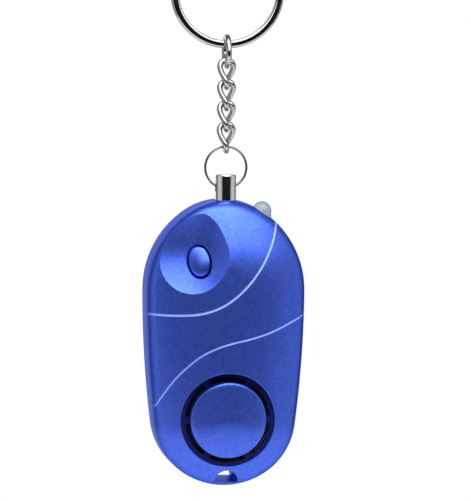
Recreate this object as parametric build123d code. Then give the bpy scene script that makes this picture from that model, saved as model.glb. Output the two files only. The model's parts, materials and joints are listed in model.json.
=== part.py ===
from build123d import *
import os
from math import acos, asin, atan, cos, hypot, pi, radians, sin, sqrt, tan

# Personal safety alarm hanging from its key ring, in millimetres.
# X points right, Y to the back and Z up. The origin is the inside top of the key ring, where it hangs.
# Heights inside the housing are given as drops below the housing's top.

# Fits shared by many pieces
overrun = 1.0
seat_gap = 0.05
slide_gap = 0.15
chain_gap = 0.12

# Key ring, a flat spring wire wound in two coils
key_ring_bore_radius = 12.9
key_ring_wire_width = 2.1
key_ring_wire_thickness = 1.2
key_ring_edge_chamfer = 0.55
key_ring_seam_depth = 0.3
key_ring_end_gap = 0.7
key_ring_end_angle = 40.0

# Connector ring between the key ring and the chain
connector_bore_radius = 3.15
connector_wire_radius = 0.75

# Curb chain links, each twisted a quarter turn
link_wire_radius = 0.75
link_inner_length = 5.67
link_bend_radius = 1.9
link_twist = 90.0
link_count = 4
link_section_count = 13
link_section_sides = 10
ring_section_sides = 8

# Ring through the pull pin
pin_ring_bore_radius = 5.15
pin_ring_wire_radius = 0.3

# Pull pin, a bright cap on a nylon stem
pin_cap_radius = 2.8
pin_cap_length = 7.0
pin_cap_hole_depth = 3.6
pin_cap_hole_radius = 1.0
pin_cap_top_chamfer = 0.45
pin_cap_foot_chamfer = 0.25
pin_cap_seat_depth = 0.22
pin_spigot_radius = 1.2
pin_spigot_length = 1.6
pin_stem_radius = 1.7
pin_stem_length = 11.0
pin_stem_tip_chamfer = 0.7

# Housing outline, a chain of tangent arcs. Insets are from the half width, the share is of the height.
housing_width = 41.7
housing_height = 75.0
crown_arc_inset = 3.35
crown_arc_sweep = 33.0
side_arc_share = 3.7333333
foot_corner_inset = 3.15
foot_corner_sweep = 148.0

# Housing depth and walls
front_depth = 10.0
back_depth = 10.0
parting_depth = 1.0
wall = 1.6
front_crown_radius = 60.0
front_edge_radius = 4.0
back_edge_radius = 3.0
crest_half_width = 4.85
round_step_count = 3
cavity_step_count = 1

# Thumb scoop
scoop_offset = -13.7
scoop_drop = 11.5
scoop_ball_radius = 25.0
scoop_depth = 5.2

# Light button and its switch
button_offset = -7.7
button_drop = 15.6
button_width = 5.4
button_height = 8.0
button_side_radius = 6.0
button_tilt = 6.0
button_gap = 0.45
button_rise = 0.7
button_dome_radius = 10.0
button_flange_width = 0.7
button_flange_thickness = 0.6
button_flange_depth = 6.2
button_post_radius = 1.2
button_travel = 0.3
switch_width = 5.2
switch_thickness = 1.2
switch_plunger_radius = 0.9
switch_plunger_rise = 0.4

# Sounder opening and sounder
sounder_rise = 17.9
sounder_disc_radius = 10.0
sounder_disc_rise = 0.4
sounder_groove_radius = 12.35
sounder_groove_depth = 3.2
sounder_floor_thickness = 1.4
sounder_chamber_radius = 8.4
sounder_wall = 1.2
sounder_wall_depth = 2.0
sound_slot_count = 6
sound_slot_gap = 0.15
sound_rib_width = 2.0
sounder_ring_width = 1.0
sounder_ring_thickness = 1.4
diaphragm_thickness = 0.25
piezo_radius = 8.5
piezo_thickness = 0.2

# Lanyard eye, a half moon through the housing's foot
eye_width = 6.1
eye_height = 3.3
eye_foot = 1.1
eye_wall = 1.0

# Styling lines pressed into the front
line_width = 0.5
line_depth = 0.22
lower_line_width = 0.4
lower_line_depth = 0.15

# Light
led_offset = 9.5
led_radius = 2.5
led_top_rise = 0.2
led_length = 8.7
led_flange_radius = 2.9
led_flange_thickness = 1.0
led_lead_width = 0.5
led_lead_spacing = 2.54
led_lead_length = 6.2

# Pin socket and its contact
socket_wall = 1.3
socket_flange_width = 0.9
socket_flange_thickness = 1.0
socket_foot = 1.2
socket_slot_width = 1.7
socket_slot_length = 7.0
socket_slot_foot = 2.0
spring_thickness = 0.25
spring_width = 1.4
spring_foot = 2.0
spring_tip = 1.5
spring_flare = 0.6

# Circuit board, whose screws are placed by drops below its upper edge
board_width = 22.8
board_height = 16.0
board_thickness = 1.0
board_gap = 0.3
board_screw_offset = 9.5
board_upper_screw_drop = 6.68
board_lower_screw_drop = 11.18
board_boss_radius = 1.7
board_screw_radius = 0.8
board_screw_head_radius = 1.5
board_screw_head_height = 0.9
board_screw_length = 4.5

# Parts on the board, placed by drops below its upper edge
chip_width = 5.0
chip_height = 4.0
chip_thickness = 1.5
chip_offset = 2.6
chip_drop = 7.68
coil_radius = 3.6
coil_length = 5.6
coil_waist_radius = 2.9
coil_flange_thickness = 0.8
coil_offset = 4.9
coil_drop = 9.58
transistor_width = 4.4
transistor_height = 3.2
transistor_thickness = 4.2
transistor_offset = -8.4
transistor_drop = 7.68
capacitor_radius = 2.2
capacitor_length = 5.2
capacitor_offset = -3.0
capacitor_drop = 10.58
resistor_width = 1.6
resistor_height = 0.8
resistor_thickness = 0.5
resistor_pitch = 2.2
resistor_offset = -2.2
resistor_chip_gap = 2.9
resistor_count = 3

# Button cells in their holder
cell_radius = 5.8
cell_thickness = 5.4
cell_cap_radius = 4.4
cell_cap_height = 0.6
cell_count = 3
cell_drop = 36.7
cell_gap = 0.1
holder_wall = 0.9
holder_depth = 9.0
contact_thickness = 0.3
contact_width = 6.0
contact_bulge = 0.9
contact_bulge_radius = 1.6
contact_tail_width = 2.0
contact_tail_lap = 2.4

# Case screws
case_screw_inset = 6.05
case_screw_upper_drop = 22.5
case_screw_lower_drop = 46.0
case_screw_radius = 1.0
case_screw_length = 11.0
case_screw_head_radius = 2.1
case_screw_head_height = 1.3
case_screw_recess_depth = 2.8
screw_slot_width = 0.5
screw_slot_depth = 0.6
front_boss_radius = 2.3
back_boss_radius = 3.0

# Heights down the chain
key_ring_center_z = -key_ring_bore_radius
key_ring_wire_z = key_ring_center_z - key_ring_bore_radius - key_ring_wire_width / 2
key_ring_half_diagonal = hypot(key_ring_wire_width / 2, key_ring_wire_thickness - key_ring_edge_chamfer)
key_ring_corner_reach = max(
    key_ring_half_diagonal,
    hypot(key_ring_wire_width / 2 - key_ring_edge_chamfer, key_ring_wire_thickness),
)
connector_center_z = key_ring_wire_z - (connector_bore_radius - key_ring_corner_reach - seat_gap)
connector_center_radius = connector_bore_radius + connector_wire_radius
connector_wire_z = connector_center_z - connector_center_radius
link_center_length = link_inner_length + 2 * link_wire_radius
link_pitch = link_inner_length - chain_gap
first_link_top_z = connector_wire_z + connector_wire_radius + link_wire_radius + chain_gap
last_link_foot_z = first_link_top_z - (link_count - 1) * link_pitch - link_center_length
pin_ring_center_radius = pin_ring_bore_radius + pin_ring_wire_radius
pin_ring_top_z = last_link_foot_z + link_wire_radius + pin_ring_wire_radius + chain_gap
pin_ring_center_z = pin_ring_top_z - pin_ring_center_radius
pin_ring_at_cap_z = pin_ring_center_z - sqrt(pin_ring_center_radius**2 - pin_cap_radius**2)
pin_hole_z = pin_ring_at_cap_z + pin_ring_wire_radius + seat_gap - pin_cap_hole_radius
pin_cap_top_z = pin_hole_z + pin_cap_hole_depth
pin_cap_foot_z = pin_cap_top_z - pin_cap_length
housing_top_z = pin_cap_foot_z - seat_gap + pin_cap_seat_depth

# Depths through the housing, where Y grows to the back
front_y = -front_depth
back_y = back_depth
parting_y = -parting_depth
led_y = parting_y
board_front_y = led_y + led_lead_width / 2
board_back_y = board_front_y + board_thickness
board_screw_tip_y = board_back_y - board_screw_length
case_screw_seat_y = back_y - case_screw_recess_depth
case_screw_tip_y = case_screw_seat_y - case_screw_length

# Front and back surfaces, where angles are between the surface's normal and straight ahead
half_width = housing_width / 2
crown_end_angle = asin((half_width - front_edge_radius) / (front_crown_radius - front_edge_radius))
crest_angle = asin(crest_half_width / front_crown_radius)
front_edge_y = (
    front_y + front_crown_radius * (1 - cos(crown_end_angle)) + front_edge_radius * cos(crown_end_angle)
)
crown_arc_radius = half_width - crown_arc_inset
side_arc_radius = side_arc_share * housing_height
foot_corner_radius = half_width - foot_corner_inset
shoulder_share = sin(radians(crown_arc_sweep))
shoulder_arc_radius = (half_width - crown_arc_radius * shoulder_share) / (1 - shoulder_share)

# Light button and switch
scoop_center_y = front_y + scoop_depth - scoop_ball_radius
flange_front_y = front_y + button_flange_depth
flange_back_y = flange_front_y + button_flange_thickness
switch_front_y = board_front_y - switch_thickness
plunger_front_y = switch_front_y - switch_plunger_rise

# Sounder
sounder_floor_y = front_y + sounder_groove_depth
sounder_seat_y = sounder_floor_y + sounder_floor_thickness
sounder_wall_y = sounder_seat_y + sounder_wall_depth
sounder_bore_radius = sounder_groove_radius + seat_gap
sounder_ring_radius = sounder_bore_radius - seat_gap
sounder_ring_y = sounder_seat_y + seat_gap
diaphragm_y = sounder_ring_y + sounder_ring_thickness
piezo_y = diaphragm_y + diaphragm_thickness

# Cells lie in a row across the housing, with the flat contact on the right
cell_pitch = cell_thickness + seat_gap
stack_length = cell_count * cell_pitch - seat_gap
holder_room = stack_length + 2 * contact_thickness + contact_bulge + 4 * seat_gap
holder_back_y = back_y - wall - seat_gap
cell_y = holder_back_y - holder_wall - cell_gap - cell_radius
flat_contact_x = holder_room / 2 - seat_gap - contact_thickness
spring_contact_x = seat_gap - holder_room / 2
stack_x = flat_contact_x - seat_gap - stack_length


def drop_z(drop):
    """Height of a point that lies the given drop below the housing's top."""
    return housing_top_z - drop


# Places inside the housing
scoop_z = drop_z(scoop_drop)
button_z = drop_z(button_drop)
sounder_z = drop_z(housing_height - sounder_rise)
cell_z = drop_z(cell_drop)
led_top_z = drop_z(led_top_rise)
led_foot_z = led_top_z - led_length
pin_foot_z = pin_cap_foot_z - pin_stem_length
socket_bore_radius = pin_stem_radius + slide_gap
socket_radius = socket_bore_radius + socket_wall
socket_flange_radius = socket_radius + socket_flange_width
socket_top_z = drop_z(pin_cap_seat_depth + wall)
socket_foot_z = pin_foot_z - slide_gap - socket_foot
board_top_z = socket_foot_z - board_gap
board_foot_z = board_top_z - board_height
chip_z = board_top_z - chip_drop
resistor_z = chip_z - chip_height / 2 - resistor_chip_gap - resistor_height / 2
case_screw_offset = half_width - case_screw_inset
case_screw_spots = [
    (side * case_screw_offset, drop_z(drop))
    for side in (-1, 1)
    for drop in (case_screw_upper_drop, case_screw_lower_drop)
]
board_screw_spots = [
    (board_screw_offset, board_top_z - board_upper_screw_drop),
    (-board_screw_offset, board_top_z - board_lower_screw_drop),
]

# Styling lines, as shares of the half width to the right and of the height down
upper_line_shares = [
    (-1.02, 0.392), (-0.57, 0.398), (-0.19, 0.379), (0.113, 0.327), (0.393, 0.237), (0.58, 0.132),
    (0.62, 0.07),
]
lower_line_shares = [
    (-0.97, 0.75), (-0.76, 0.641), (-0.43, 0.547), (-0.19, 0.509), (0.06, 0.488), (0.28, 0.476),
    (0.62, 0.448), (1.02, 0.392),
]


def arc_chain():
    """Centres, radii and end angles of the outline's right side, from the crown to the foot.

    Angles run clockwise from straight up. The side arc's sweep and the foot's radius close the outline.
    """
    sweep = radians(crown_arc_sweep)
    corner = radians(foot_corner_sweep)
    crown = (0, -crown_arc_radius)
    shoulder_step = crown_arc_radius - shoulder_arc_radius
    shoulder = (shoulder_step * sin(sweep), crown[1] + shoulder_step * cos(sweep))
    side = (shoulder[0] + shoulder_arc_radius - side_arc_radius, shoulder[1])
    lean = 1 / tan(corner / 2)
    reach = side_arc_radius - foot_corner_radius
    target = foot_corner_radius - housing_height - side[1] + lean * side[0]
    side_end = acos(target / (reach * hypot(1, lean))) - atan(lean)
    foot_corner = (side[0] + reach * sin(side_end), side[1] + reach * cos(side_end))
    foot_radius = foot_corner_radius + foot_corner[0] / sin(corner)
    foot = (0, foot_corner[1] + (foot_corner_radius - foot_radius) * cos(corner))
    centers = [crown, shoulder, side, foot_corner, foot]
    radii = [crown_arc_radius, shoulder_arc_radius, side_arc_radius, foot_corner_radius, foot_radius]
    ends = [0, sweep, pi / 2, side_end, corner, pi]
    return centers, radii, ends


def outline_arc(center, radius, angles, side=1):
    """Arc of the outline through three angles, on the right side or mirrored to the left."""
    points = [
        (side * (center[0] + radius * sin(angle)), housing_top_z + center[1] + radius * cos(angle))
        for angle in angles
    ]
    return ThreePointArc(*points)


def outline_face(inset):
    """Housing outline in front view, drawn the given inset inside the widest one."""
    centers, radii, ends = arc_chain()
    last = len(centers) - 1
    edges = [
        outline_arc(centers[0], radii[0] - inset, (-ends[1], 0, ends[1])),
        outline_arc(centers[last], radii[last] - inset, (ends[last], pi, 2 * pi - ends[last])),
    ]
    for index in range(1, last):
        angles = (ends[index], (ends[index] + ends[index + 1]) / 2, ends[index + 1])
        for side in (-1, 1):
            edges.append(outline_arc(centers[index], radii[index] - inset, angles, side))
    return make_face(Curve() + edges)


def front_view(y):
    """Plane at the given depth whose sketches are seen from the front, x right and y up."""
    return Plane(origin=(0, y, 0), x_dir=(1, 0, 0), z_dir=(0, -1, 0))


def prism(sketch, rear_y, fore_y):
    """Front-view sketch drawn out from one depth forwards to another."""
    return extrude(front_view(rear_y) * sketch, amount=rear_y - fore_y)


def bar(radius, x, z, rear_y, fore_y):
    """Round bar along Y."""
    return prism(Pos(x, z) * Circle(radius), rear_y, fore_y)


def cross_bar(radius, y, z, left_x, right_x):
    """Round bar along X."""
    disc = Plane(origin=(left_x, y, z), x_dir=(0, 1, 0), z_dir=(1, 0, 0)) * Circle(radius)
    return extrude(disc, amount=right_x - left_x)


def post(radius, x, y, low_z, high_z):
    """Round bar along Z."""
    return extrude(Plane(origin=(x, y, low_z)) * Circle(radius), amount=high_z - low_z)


def block(x, y, z):
    """Box between two limits along each axis."""
    limits = (x, y, z)
    middle = [(low + high) / 2 for low, high in limits]
    size = [high - low for low, high in limits]
    return Pos(*middle) * Box(*size)


def front_body(inward, rear_y, step_count):
    """Front of the housing from a depth to the crest, all its walls moved inwards by one amount."""
    edge_turn = (pi / 2 - crown_end_angle) / step_count
    crown_turn = (crown_end_angle - crest_angle) / step_count
    sections = [front_view(rear_y) * outline_face(inward)]
    for step in range(step_count):
        angle = pi / 2 - step * edge_turn
        inset = front_edge_radius * (1 - sin(angle)) + inward * sin(angle)
        y = front_edge_y - (front_edge_radius - inward) * cos(angle)
        sections.append(front_view(y) * outline_face(inset))
    for step in range(step_count + 1):
        angle = crown_end_angle - step * crown_turn
        inset = half_width - (front_crown_radius - inward) * sin(angle)
        y = front_y + front_crown_radius - (front_crown_radius - inward) * cos(angle)
        sections.append(front_view(y) * outline_face(inset))
    return loft(sections, ruled=True)


def back_body(inward, fore_y, step_count):
    """Back of the housing from a depth to its flat face, all its walls moved inwards by one amount."""
    sections = [front_view(fore_y) * outline_face(inward)]
    for step in range(step_count + 1):
        angle = pi / 2 * (1 - step / step_count)
        inset = back_edge_radius * (1 - sin(angle)) + inward * sin(angle)
        y = back_y - back_edge_radius + (back_edge_radius - inward) * cos(angle)
        sections.append(front_view(y) * outline_face(inset))
    return loft(sections, ruled=True)


def wire_section(radius, sides):
    """Drawn wire in section, with flats that touch the round wire."""
    return RegularPolygon(radius, sides, major_radius=False, rotation=180 / sides)


def key_ring():
    """Two flat coils side by side, each cut where its end of the wire lies."""
    inner = key_ring_bore_radius
    outer = inner + key_ring_wire_width
    half = key_ring_wire_thickness
    cut = key_ring_edge_chamfer
    seam = key_ring_seam_depth
    section = Polyline(
        (inner + cut, -half), (outer - cut, -half), (outer, cut - half), (outer, -seam), (outer - seam, 0),
        (outer, seam), (outer, half - cut), (outer - cut, half), (inner + cut, half), (inner, half - cut),
        (inner, cut - half), close=True,
    )
    axis = Axis((0, 0, key_ring_center_z), (0, 1, 0))
    ring = revolve(Pos(0, 0, key_ring_center_z) * make_face(section), axis, 360)
    reach = key_ring_wire_width
    gap = key_ring_end_gap / 2
    for side in (-1, 1):
        turned = Rot(0, side * key_ring_end_angle, 0)
        slot = Pos(0, side * half, (inner + outer) / 2) * Box(2 * gap, half, reach + overrun)
        ring -= Pos(0, 0, key_ring_center_z) * turned * slot
    return ring


def connector_ring():
    """Wire ring standing across the key ring."""
    section = wire_section(connector_wire_radius, ring_section_sides)
    profile = Pos(0, connector_center_radius, connector_center_z) * section
    return revolve(profile, Axis((0, 0, connector_center_z), (1, 0, 0)), 360)


def strand_plane(share, top_z):
    """Plane across the wire at a share of the way down a link's left strand."""
    bend = link_bend_radius
    quarter = bend * pi / 2
    straight = link_center_length - 2 * bend
    run = share * (2 * quarter + straight)
    if run < quarter:
        angle = run / bend
        reach, fall = bend * sin(angle), bend * (1 - cos(angle))
        reach_rate, fall_rate = cos(angle), sin(angle)
    elif run < quarter + straight:
        reach, fall = bend, bend + run - quarter
        reach_rate, fall_rate = 0, 1
    else:
        angle = (run - quarter - straight) / bend
        reach, fall = bend * cos(angle), bend + straight + bend * sin(angle)
        reach_rate, fall_rate = -sin(angle), cos(angle)
    phase = pi * fall / link_center_length
    turn = radians(link_twist) * (1 - cos(phase)) / 2
    turn_rate = radians(link_twist) * pi / link_center_length * sin(phase) / 2 * fall_rate
    tangent = Vector(
        reach * turn_rate * sin(turn) - reach_rate * cos(turn),
        -reach * turn_rate * cos(turn) - reach_rate * sin(turn),
        -fall_rate,
    ).normalized()
    across = Vector(-sin(turn), cos(turn), 0)
    across = (across - tangent * across.dot(tangent)).normalized()
    return Plane(origin=(-reach * cos(turn), -reach * sin(turn), top_z - fall), x_dir=across, z_dir=tangent)


def chain_link(top_z):
    """Closed wire link whose lower end is turned square to its upper end."""
    section = wire_section(link_wire_radius, link_section_sides)
    shares = [index / (link_section_count - 1) for index in range(link_section_count)]
    strand = loft([strand_plane(share, top_z) * section for share in shares], ruled=True)
    return strand + Rot(0, 0, 180) * strand


def pin_ring():
    """Fine wire ring through the pull pin's cap."""
    section = wire_section(pin_ring_wire_radius, ring_section_sides)
    profile = Pos(pin_ring_center_radius, 0, pin_ring_center_z) * section
    return revolve(profile, Axis((0, 0, pin_ring_center_z), (0, 1, 0)), 360)


def pull_pin_cap():
    """Turned cap with a cross hole for its ring and a blind hole for the stem."""
    cap = post(pin_cap_radius, 0, 0, pin_cap_foot_z, pin_cap_top_z)
    cap = chamfer(cap.edges().group_by(Axis.Z)[-1], pin_cap_top_chamfer)
    cap = chamfer(cap.edges().group_by(Axis.Z)[0], pin_cap_foot_chamfer)
    reach = pin_cap_radius + overrun
    cap -= cross_bar(pin_cap_hole_radius, 0, pin_hole_z, -reach, reach)
    return cap - post(pin_spigot_radius, 0, 0, pin_cap_foot_z - overrun, pin_cap_foot_z + pin_spigot_length)


def pull_pin_stem():
    """Nylon stem that holds the contact open while it is in the socket."""
    stem = post(pin_stem_radius, 0, 0, pin_foot_z, pin_cap_foot_z)
    stem = chamfer(stem.edges().group_by(Axis.Z)[0], pin_stem_tip_chamfer)
    return stem + post(pin_spigot_radius, 0, 0, pin_cap_foot_z, pin_cap_foot_z + pin_spigot_length)


def eye_sketch(grow):
    """Half moon of the lanyard eye in front view, grown by the given amount."""
    half = eye_width / 2 + grow
    foot_z = drop_z(housing_height - eye_foot) - grow
    edge = ThreePointArc((-half, foot_z), (0, foot_z + eye_height + 2 * grow), (half, foot_z))
    return make_face(edge + Line((half, foot_z), (-half, foot_z)))


def pressed_line(shares, width, depth):
    """What a styling line takes out of the front, to an even depth."""
    route = Spline(*[(half_width * right, drop_z(housing_height * down)) for right, down in shares])
    band = prism(trace(route, width), front_edge_y, front_y - overrun)
    return band - front_body(depth, front_edge_y + overrun, round_step_count)


def button_sketch(grow):
    """Oval of the light button in front view, four tangent arcs grown by the given amount."""
    half, tall, side = button_width / 2, button_height / 2, button_side_radius
    end = (half**2 + tall**2 - 2 * half * side) / (2 * (tall - side))
    join_x = half - side + (side + grow) * (side - half) / (side - end)
    join_y = (side + grow) * (tall - end) / (side - end)
    arcs = []
    for turn in (1, -1):
        x, z = turn * join_x, turn * join_y
        arcs.append(ThreePointArc((x, -z), (turn * (half + grow), 0), (x, z)))
        arcs.append(ThreePointArc((x, z), (0, turn * (tall + grow)), (-x, z)))
    return Pos(button_offset, button_z) * Rot(0, 0, button_tilt) * make_face(Curve() + arcs)


def scoop_ball(grow):
    """Ball whose surface is the thumb scoop, or the scoop's lining when grown by the wall."""
    return Pos(scoop_offset, scoop_center_y, scoop_z) * Sphere(scoop_ball_radius + grow)


def light_button():
    """Oval button with a domed face square to the scoop, a flange behind the wall and a post."""
    center = Vector(scoop_offset, scoop_center_y, scoop_z)
    fall = hypot(button_offset - scoop_offset, button_z - scoop_z)
    surface = Vector(button_offset, scoop_center_y + sqrt(scoop_ball_radius**2 - fall**2), button_z)
    outward = (center - surface).normalized()
    dome_center = surface - outward * (button_dome_radius - button_rise)
    dome = Pos(dome_center.X, dome_center.Y, dome_center.Z) * Sphere(button_dome_radius)
    button = prism(button_sketch(0), flange_front_y, front_y) & dome
    button += prism(button_sketch(button_flange_width), flange_back_y, flange_front_y)
    post_back_y = plunger_front_y - seat_gap
    return button + bar(button_post_radius, button_offset, button_z, post_back_y, flange_back_y)


def top_openings():
    """Holes for the pull pin and the light in the housing's top, with the cap's seat."""
    top_z = housing_top_z + overrun
    pin = post(socket_bore_radius, 0, 0, socket_top_z - overrun, top_z)
    seat = post(pin_cap_radius + slide_gap, 0, 0, drop_z(pin_cap_seat_depth), top_z)
    lamp = post(led_radius + slide_gap, led_offset, led_y, led_foot_z, top_z)
    flange_foot_z = socket_top_z - socket_flange_thickness
    return pin + seat + lamp + post(socket_flange_radius + seat_gap, 0, 0, flange_foot_z, socket_top_z)


def front_shell():
    """Front half of the housing with the scoop, the sounder cup, the eye and the bosses."""
    outer = front_body(0, parting_y, round_step_count)
    inner = bar(sounder_bore_radius + sounder_wall, 0, sounder_z, sounder_wall_y, front_y)
    inner += prism(eye_sketch(eye_wall), parting_y, front_y)
    inner += scoop_ball(wall) & prism(outline_face(wall), parting_y, front_y)
    for x, z in case_screw_spots:
        inner += bar(front_boss_radius, x, z, parting_y, front_y)
    for x, z in board_screw_spots:
        inner += bar(board_boss_radius, x, z, board_front_y - seat_gap, front_y)
    shell = outer - front_body(wall, parting_y + overrun, cavity_step_count) + (inner & outer)
    shell -= bar(sounder_bore_radius, 0, sounder_z, sounder_wall_y, sounder_seat_y)
    shell -= scoop_ball(0)
    shell -= prism(button_sketch(button_gap), parting_y, front_y - overrun)
    shell -= prism(button_sketch(button_flange_width + button_gap), parting_y, flange_front_y - seat_gap)
    shell -= bar(sounder_groove_radius, 0, sounder_z, sounder_floor_y, front_y - overrun)
    disc = bar(sounder_disc_radius, 0, sounder_z, sounder_floor_y, front_y - overrun)
    shell += disc & (Pos(0, -sounder_disc_rise, 0) * outer)
    shell -= bar(sounder_chamber_radius, 0, sounder_z, sounder_seat_y, front_y + wall)
    shell -= prism(Pos(0, sounder_z) * sound_slots(), sounder_seat_y, sounder_floor_y)
    shell -= prism(eye_sketch(0), parting_y + overrun, front_y - overrun)
    for x, z in case_screw_spots:
        shell -= bar(case_screw_radius + seat_gap, x, z, parting_y + overrun, case_screw_tip_y - slide_gap)
    for x, z in board_screw_spots:
        shell -= bar(board_screw_radius + seat_gap, x, z, board_front_y, board_screw_tip_y - slide_gap)
    shell -= pressed_line(upper_line_shares, line_width, line_depth)
    shell -= pressed_line(lower_line_shares, lower_line_width, lower_line_depth)
    return shell - top_openings()


def sound_slots():
    """Ring of arc slots round the foot of the sounder disc, parted by ribs."""
    inner = sounder_disc_radius + sound_slot_gap
    outer = sounder_ring_radius - sounder_ring_width - sound_slot_gap
    slots = Circle(outer) - Circle(inner)
    for number in range(sound_slot_count):
        rib = Pos((inner + outer) / 2, 0) * Rectangle(outer, sound_rib_width)
        slots -= Rot(0, 0, 360 * number / sound_slot_count) * rib
    return slots


def back_shell():
    """Back half of the housing with the screw recesses and bosses."""
    fore_y = parting_y + seat_gap
    outer = back_body(0, fore_y, round_step_count)
    inner = prism(eye_sketch(eye_wall), back_y, fore_y)
    for x, z in case_screw_spots:
        inner += bar(back_boss_radius, x, z, back_y, fore_y)
    shell = outer - back_body(wall, fore_y - overrun, cavity_step_count) + (inner & outer)
    shell -= prism(eye_sketch(0), back_y + overrun, fore_y - overrun)
    for x, z in case_screw_spots:
        shell -= bar(case_screw_head_radius + slide_gap, x, z, back_y + overrun, case_screw_seat_y)
        shell -= bar(case_screw_radius + slide_gap, x, z, case_screw_seat_y, fore_y - overrun)
    return shell - top_openings()


def pin_socket():
    """Flanged tube round the pull pin, with a side slot for the contact spring."""
    flange_top_z = socket_top_z - seat_gap
    socket = post(socket_radius, 0, 0, socket_foot_z, flange_top_z)
    flange_foot_z = socket_top_z - socket_flange_thickness + seat_gap
    socket += post(socket_flange_radius, 0, 0, flange_foot_z, flange_top_z)
    socket -= post(socket_bore_radius, 0, 0, socket_foot_z + socket_foot, socket_top_z)
    slot_foot_z = socket_foot_z + socket_slot_foot
    half = socket_slot_width / 2
    slot_z = (slot_foot_z, slot_foot_z + socket_slot_length)
    return socket - block((-half, half), (0, socket_radius + overrun), slot_z)


def socket_contact_spring():
    """Leaf that reaches through the socket's slot and lies against the stem."""
    outside_y = socket_radius + seat_gap + spring_thickness / 2
    touch_y = pin_stem_radius + seat_gap + spring_thickness / 2
    slot_foot_z = socket_foot_z + socket_slot_foot
    touch_z = slot_foot_z + socket_slot_length - spring_tip - spring_foot / 2
    route = Polyline(
        (outside_y, slot_foot_z - spring_foot / 2),
        (outside_y, slot_foot_z + spring_foot / 2),
        (touch_y, touch_z),
        (touch_y + spring_flare, touch_z + spring_tip),
    )
    side_view = Plane(origin=(spring_width / 2, 0, 0), x_dir=(0, 1, 0), z_dir=(1, 0, 0))
    return extrude(side_view * trace(route, spring_thickness), amount=-spring_width)


def led_lamp():
    """Round lamp standing in the housing's shoulder, dome up."""
    dome_z = led_top_z - led_radius
    lamp = post(led_radius, led_offset, led_y, led_foot_z, dome_z)
    lamp += Pos(led_offset, led_y, dome_z) * Sphere(led_radius)
    return lamp + post(led_flange_radius, led_offset, led_y, led_foot_z, led_foot_z + led_flange_thickness)


def led_leads():
    """Two leads from the lamp's foot down the front of the board."""
    half = led_lead_width / 2
    leads = []
    for side in (-1, 1):
        x = led_offset + side * led_lead_spacing / 2
        z = (led_foot_z - led_lead_length, led_foot_z)
        leads.append(block((x - half, x + half), (led_y - half, led_y + half), z))
    return Part() + leads


def circuit_board():
    """Board between the socket and the cells, with its screw holes."""
    half = board_width / 2
    board = block((-half, half), (board_front_y, board_back_y), (board_foot_z, board_top_z))
    for x, z in board_screw_spots:
        board -= bar(board_screw_radius + slide_gap, x, z, board_back_y + overrun, board_front_y - overrun)
    return board


def on_front(offset, z, width, height, thickness):
    """Block that stands on the board's front."""
    return block(
        (offset - width / 2, offset + width / 2), (board_front_y - thickness, board_front_y),
        (z - height / 2, z + height / 2),
    )


def tact_switch_body():
    """Square switch on the board with the plunger's hole."""
    body = on_front(button_offset, button_z, switch_width, switch_width, switch_thickness)
    hole = switch_plunger_radius + seat_gap
    return body - bar(hole, button_offset, button_z, board_front_y - seat_gap, switch_front_y - overrun)


def switch_plunger():
    """Short plunger that the button's post pushes into the switch."""
    rear_y = board_front_y - seat_gap - button_travel - seat_gap
    return bar(switch_plunger_radius, button_offset, button_z, rear_y, plunger_front_y)


def siren_chip():
    """Chip that drives the sounder."""
    return on_front(chip_offset, chip_z, chip_width, chip_height, chip_thickness)


def resistors():
    """Row of small resistors."""
    row = []
    for number in range(resistor_count):
        offset = resistor_offset + number * resistor_pitch
        row.append(on_front(offset, resistor_z, resistor_width, resistor_height, resistor_thickness))
    return Part() + row


def step_up_coil():
    """Drum coil on the board's back, its winding drawn in at the waist."""
    z = board_top_z - coil_drop
    top_y = board_back_y + coil_length
    coil = bar(coil_waist_radius, coil_offset, z, top_y, board_back_y)
    coil += bar(coil_radius, coil_offset, z, board_back_y + coil_flange_thickness, board_back_y)
    return coil + bar(coil_radius, coil_offset, z, top_y, top_y - coil_flange_thickness)


def drive_transistor():
    """Transistor on the board's back, with one rounded side."""
    z = board_top_z - transistor_drop
    half = transistor_width / 2
    low_z = z - transistor_height / 2
    edge = ThreePointArc((half, low_z), (0, low_z + transistor_height), (-half, low_z))
    sketch = Pos(transistor_offset, 0) * make_face(edge + Line((-half, low_z), (half, low_z)))
    return prism(sketch, board_back_y + transistor_thickness, board_back_y)


def capacitor():
    """Upright can on the board's back."""
    top_y = board_back_y + capacitor_length
    return bar(capacitor_radius, capacitor_offset, board_top_z - capacitor_drop, top_y, board_back_y)


def screw(radius, length, head_radius, head_height, x, seat_y, z):
    """Plain screw driven from the back, with a slotted head."""
    body = bar(radius, x, z, seat_y, seat_y - length)
    body += bar(head_radius, x, z, seat_y + head_height, seat_y)
    half = screw_slot_width / 2
    top_y = seat_y + head_height
    depth = (top_y - screw_slot_depth, top_y + overrun)
    return body - block((x - head_radius, x + head_radius), depth, (z - half, z + half))


def case_screws():
    """Four screws from the back shell into the front one."""
    return Part() + [
        screw(case_screw_radius, case_screw_length, case_screw_head_radius, case_screw_head_height, x,
              case_screw_seat_y, z)
        for x, z in case_screw_spots
    ]


def board_screws():
    """Two screws that hold the board to the front shell."""
    return Part() + [
        screw(board_screw_radius, board_screw_length, board_screw_head_radius, board_screw_head_height, x,
              board_back_y, z)
        for x, z in board_screw_spots
    ]


def sounder_ring():
    """Spacer ring between the cup's seat and the diaphragm."""
    inner = sounder_ring_radius - sounder_ring_width
    ring = bar(sounder_ring_radius, 0, sounder_z, diaphragm_y, sounder_ring_y)
    return ring - bar(inner, 0, sounder_z, diaphragm_y + overrun, sounder_ring_y - overrun)


def sounder_diaphragm():
    """Thin brass disc of the sounder."""
    return bar(sounder_ring_radius, 0, sounder_z, piezo_y, diaphragm_y)


def piezo_ceramic():
    """Ceramic disc on the back of the diaphragm."""
    return bar(piezo_radius, 0, sounder_z, piezo_y + piezo_thickness, piezo_y)


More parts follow.
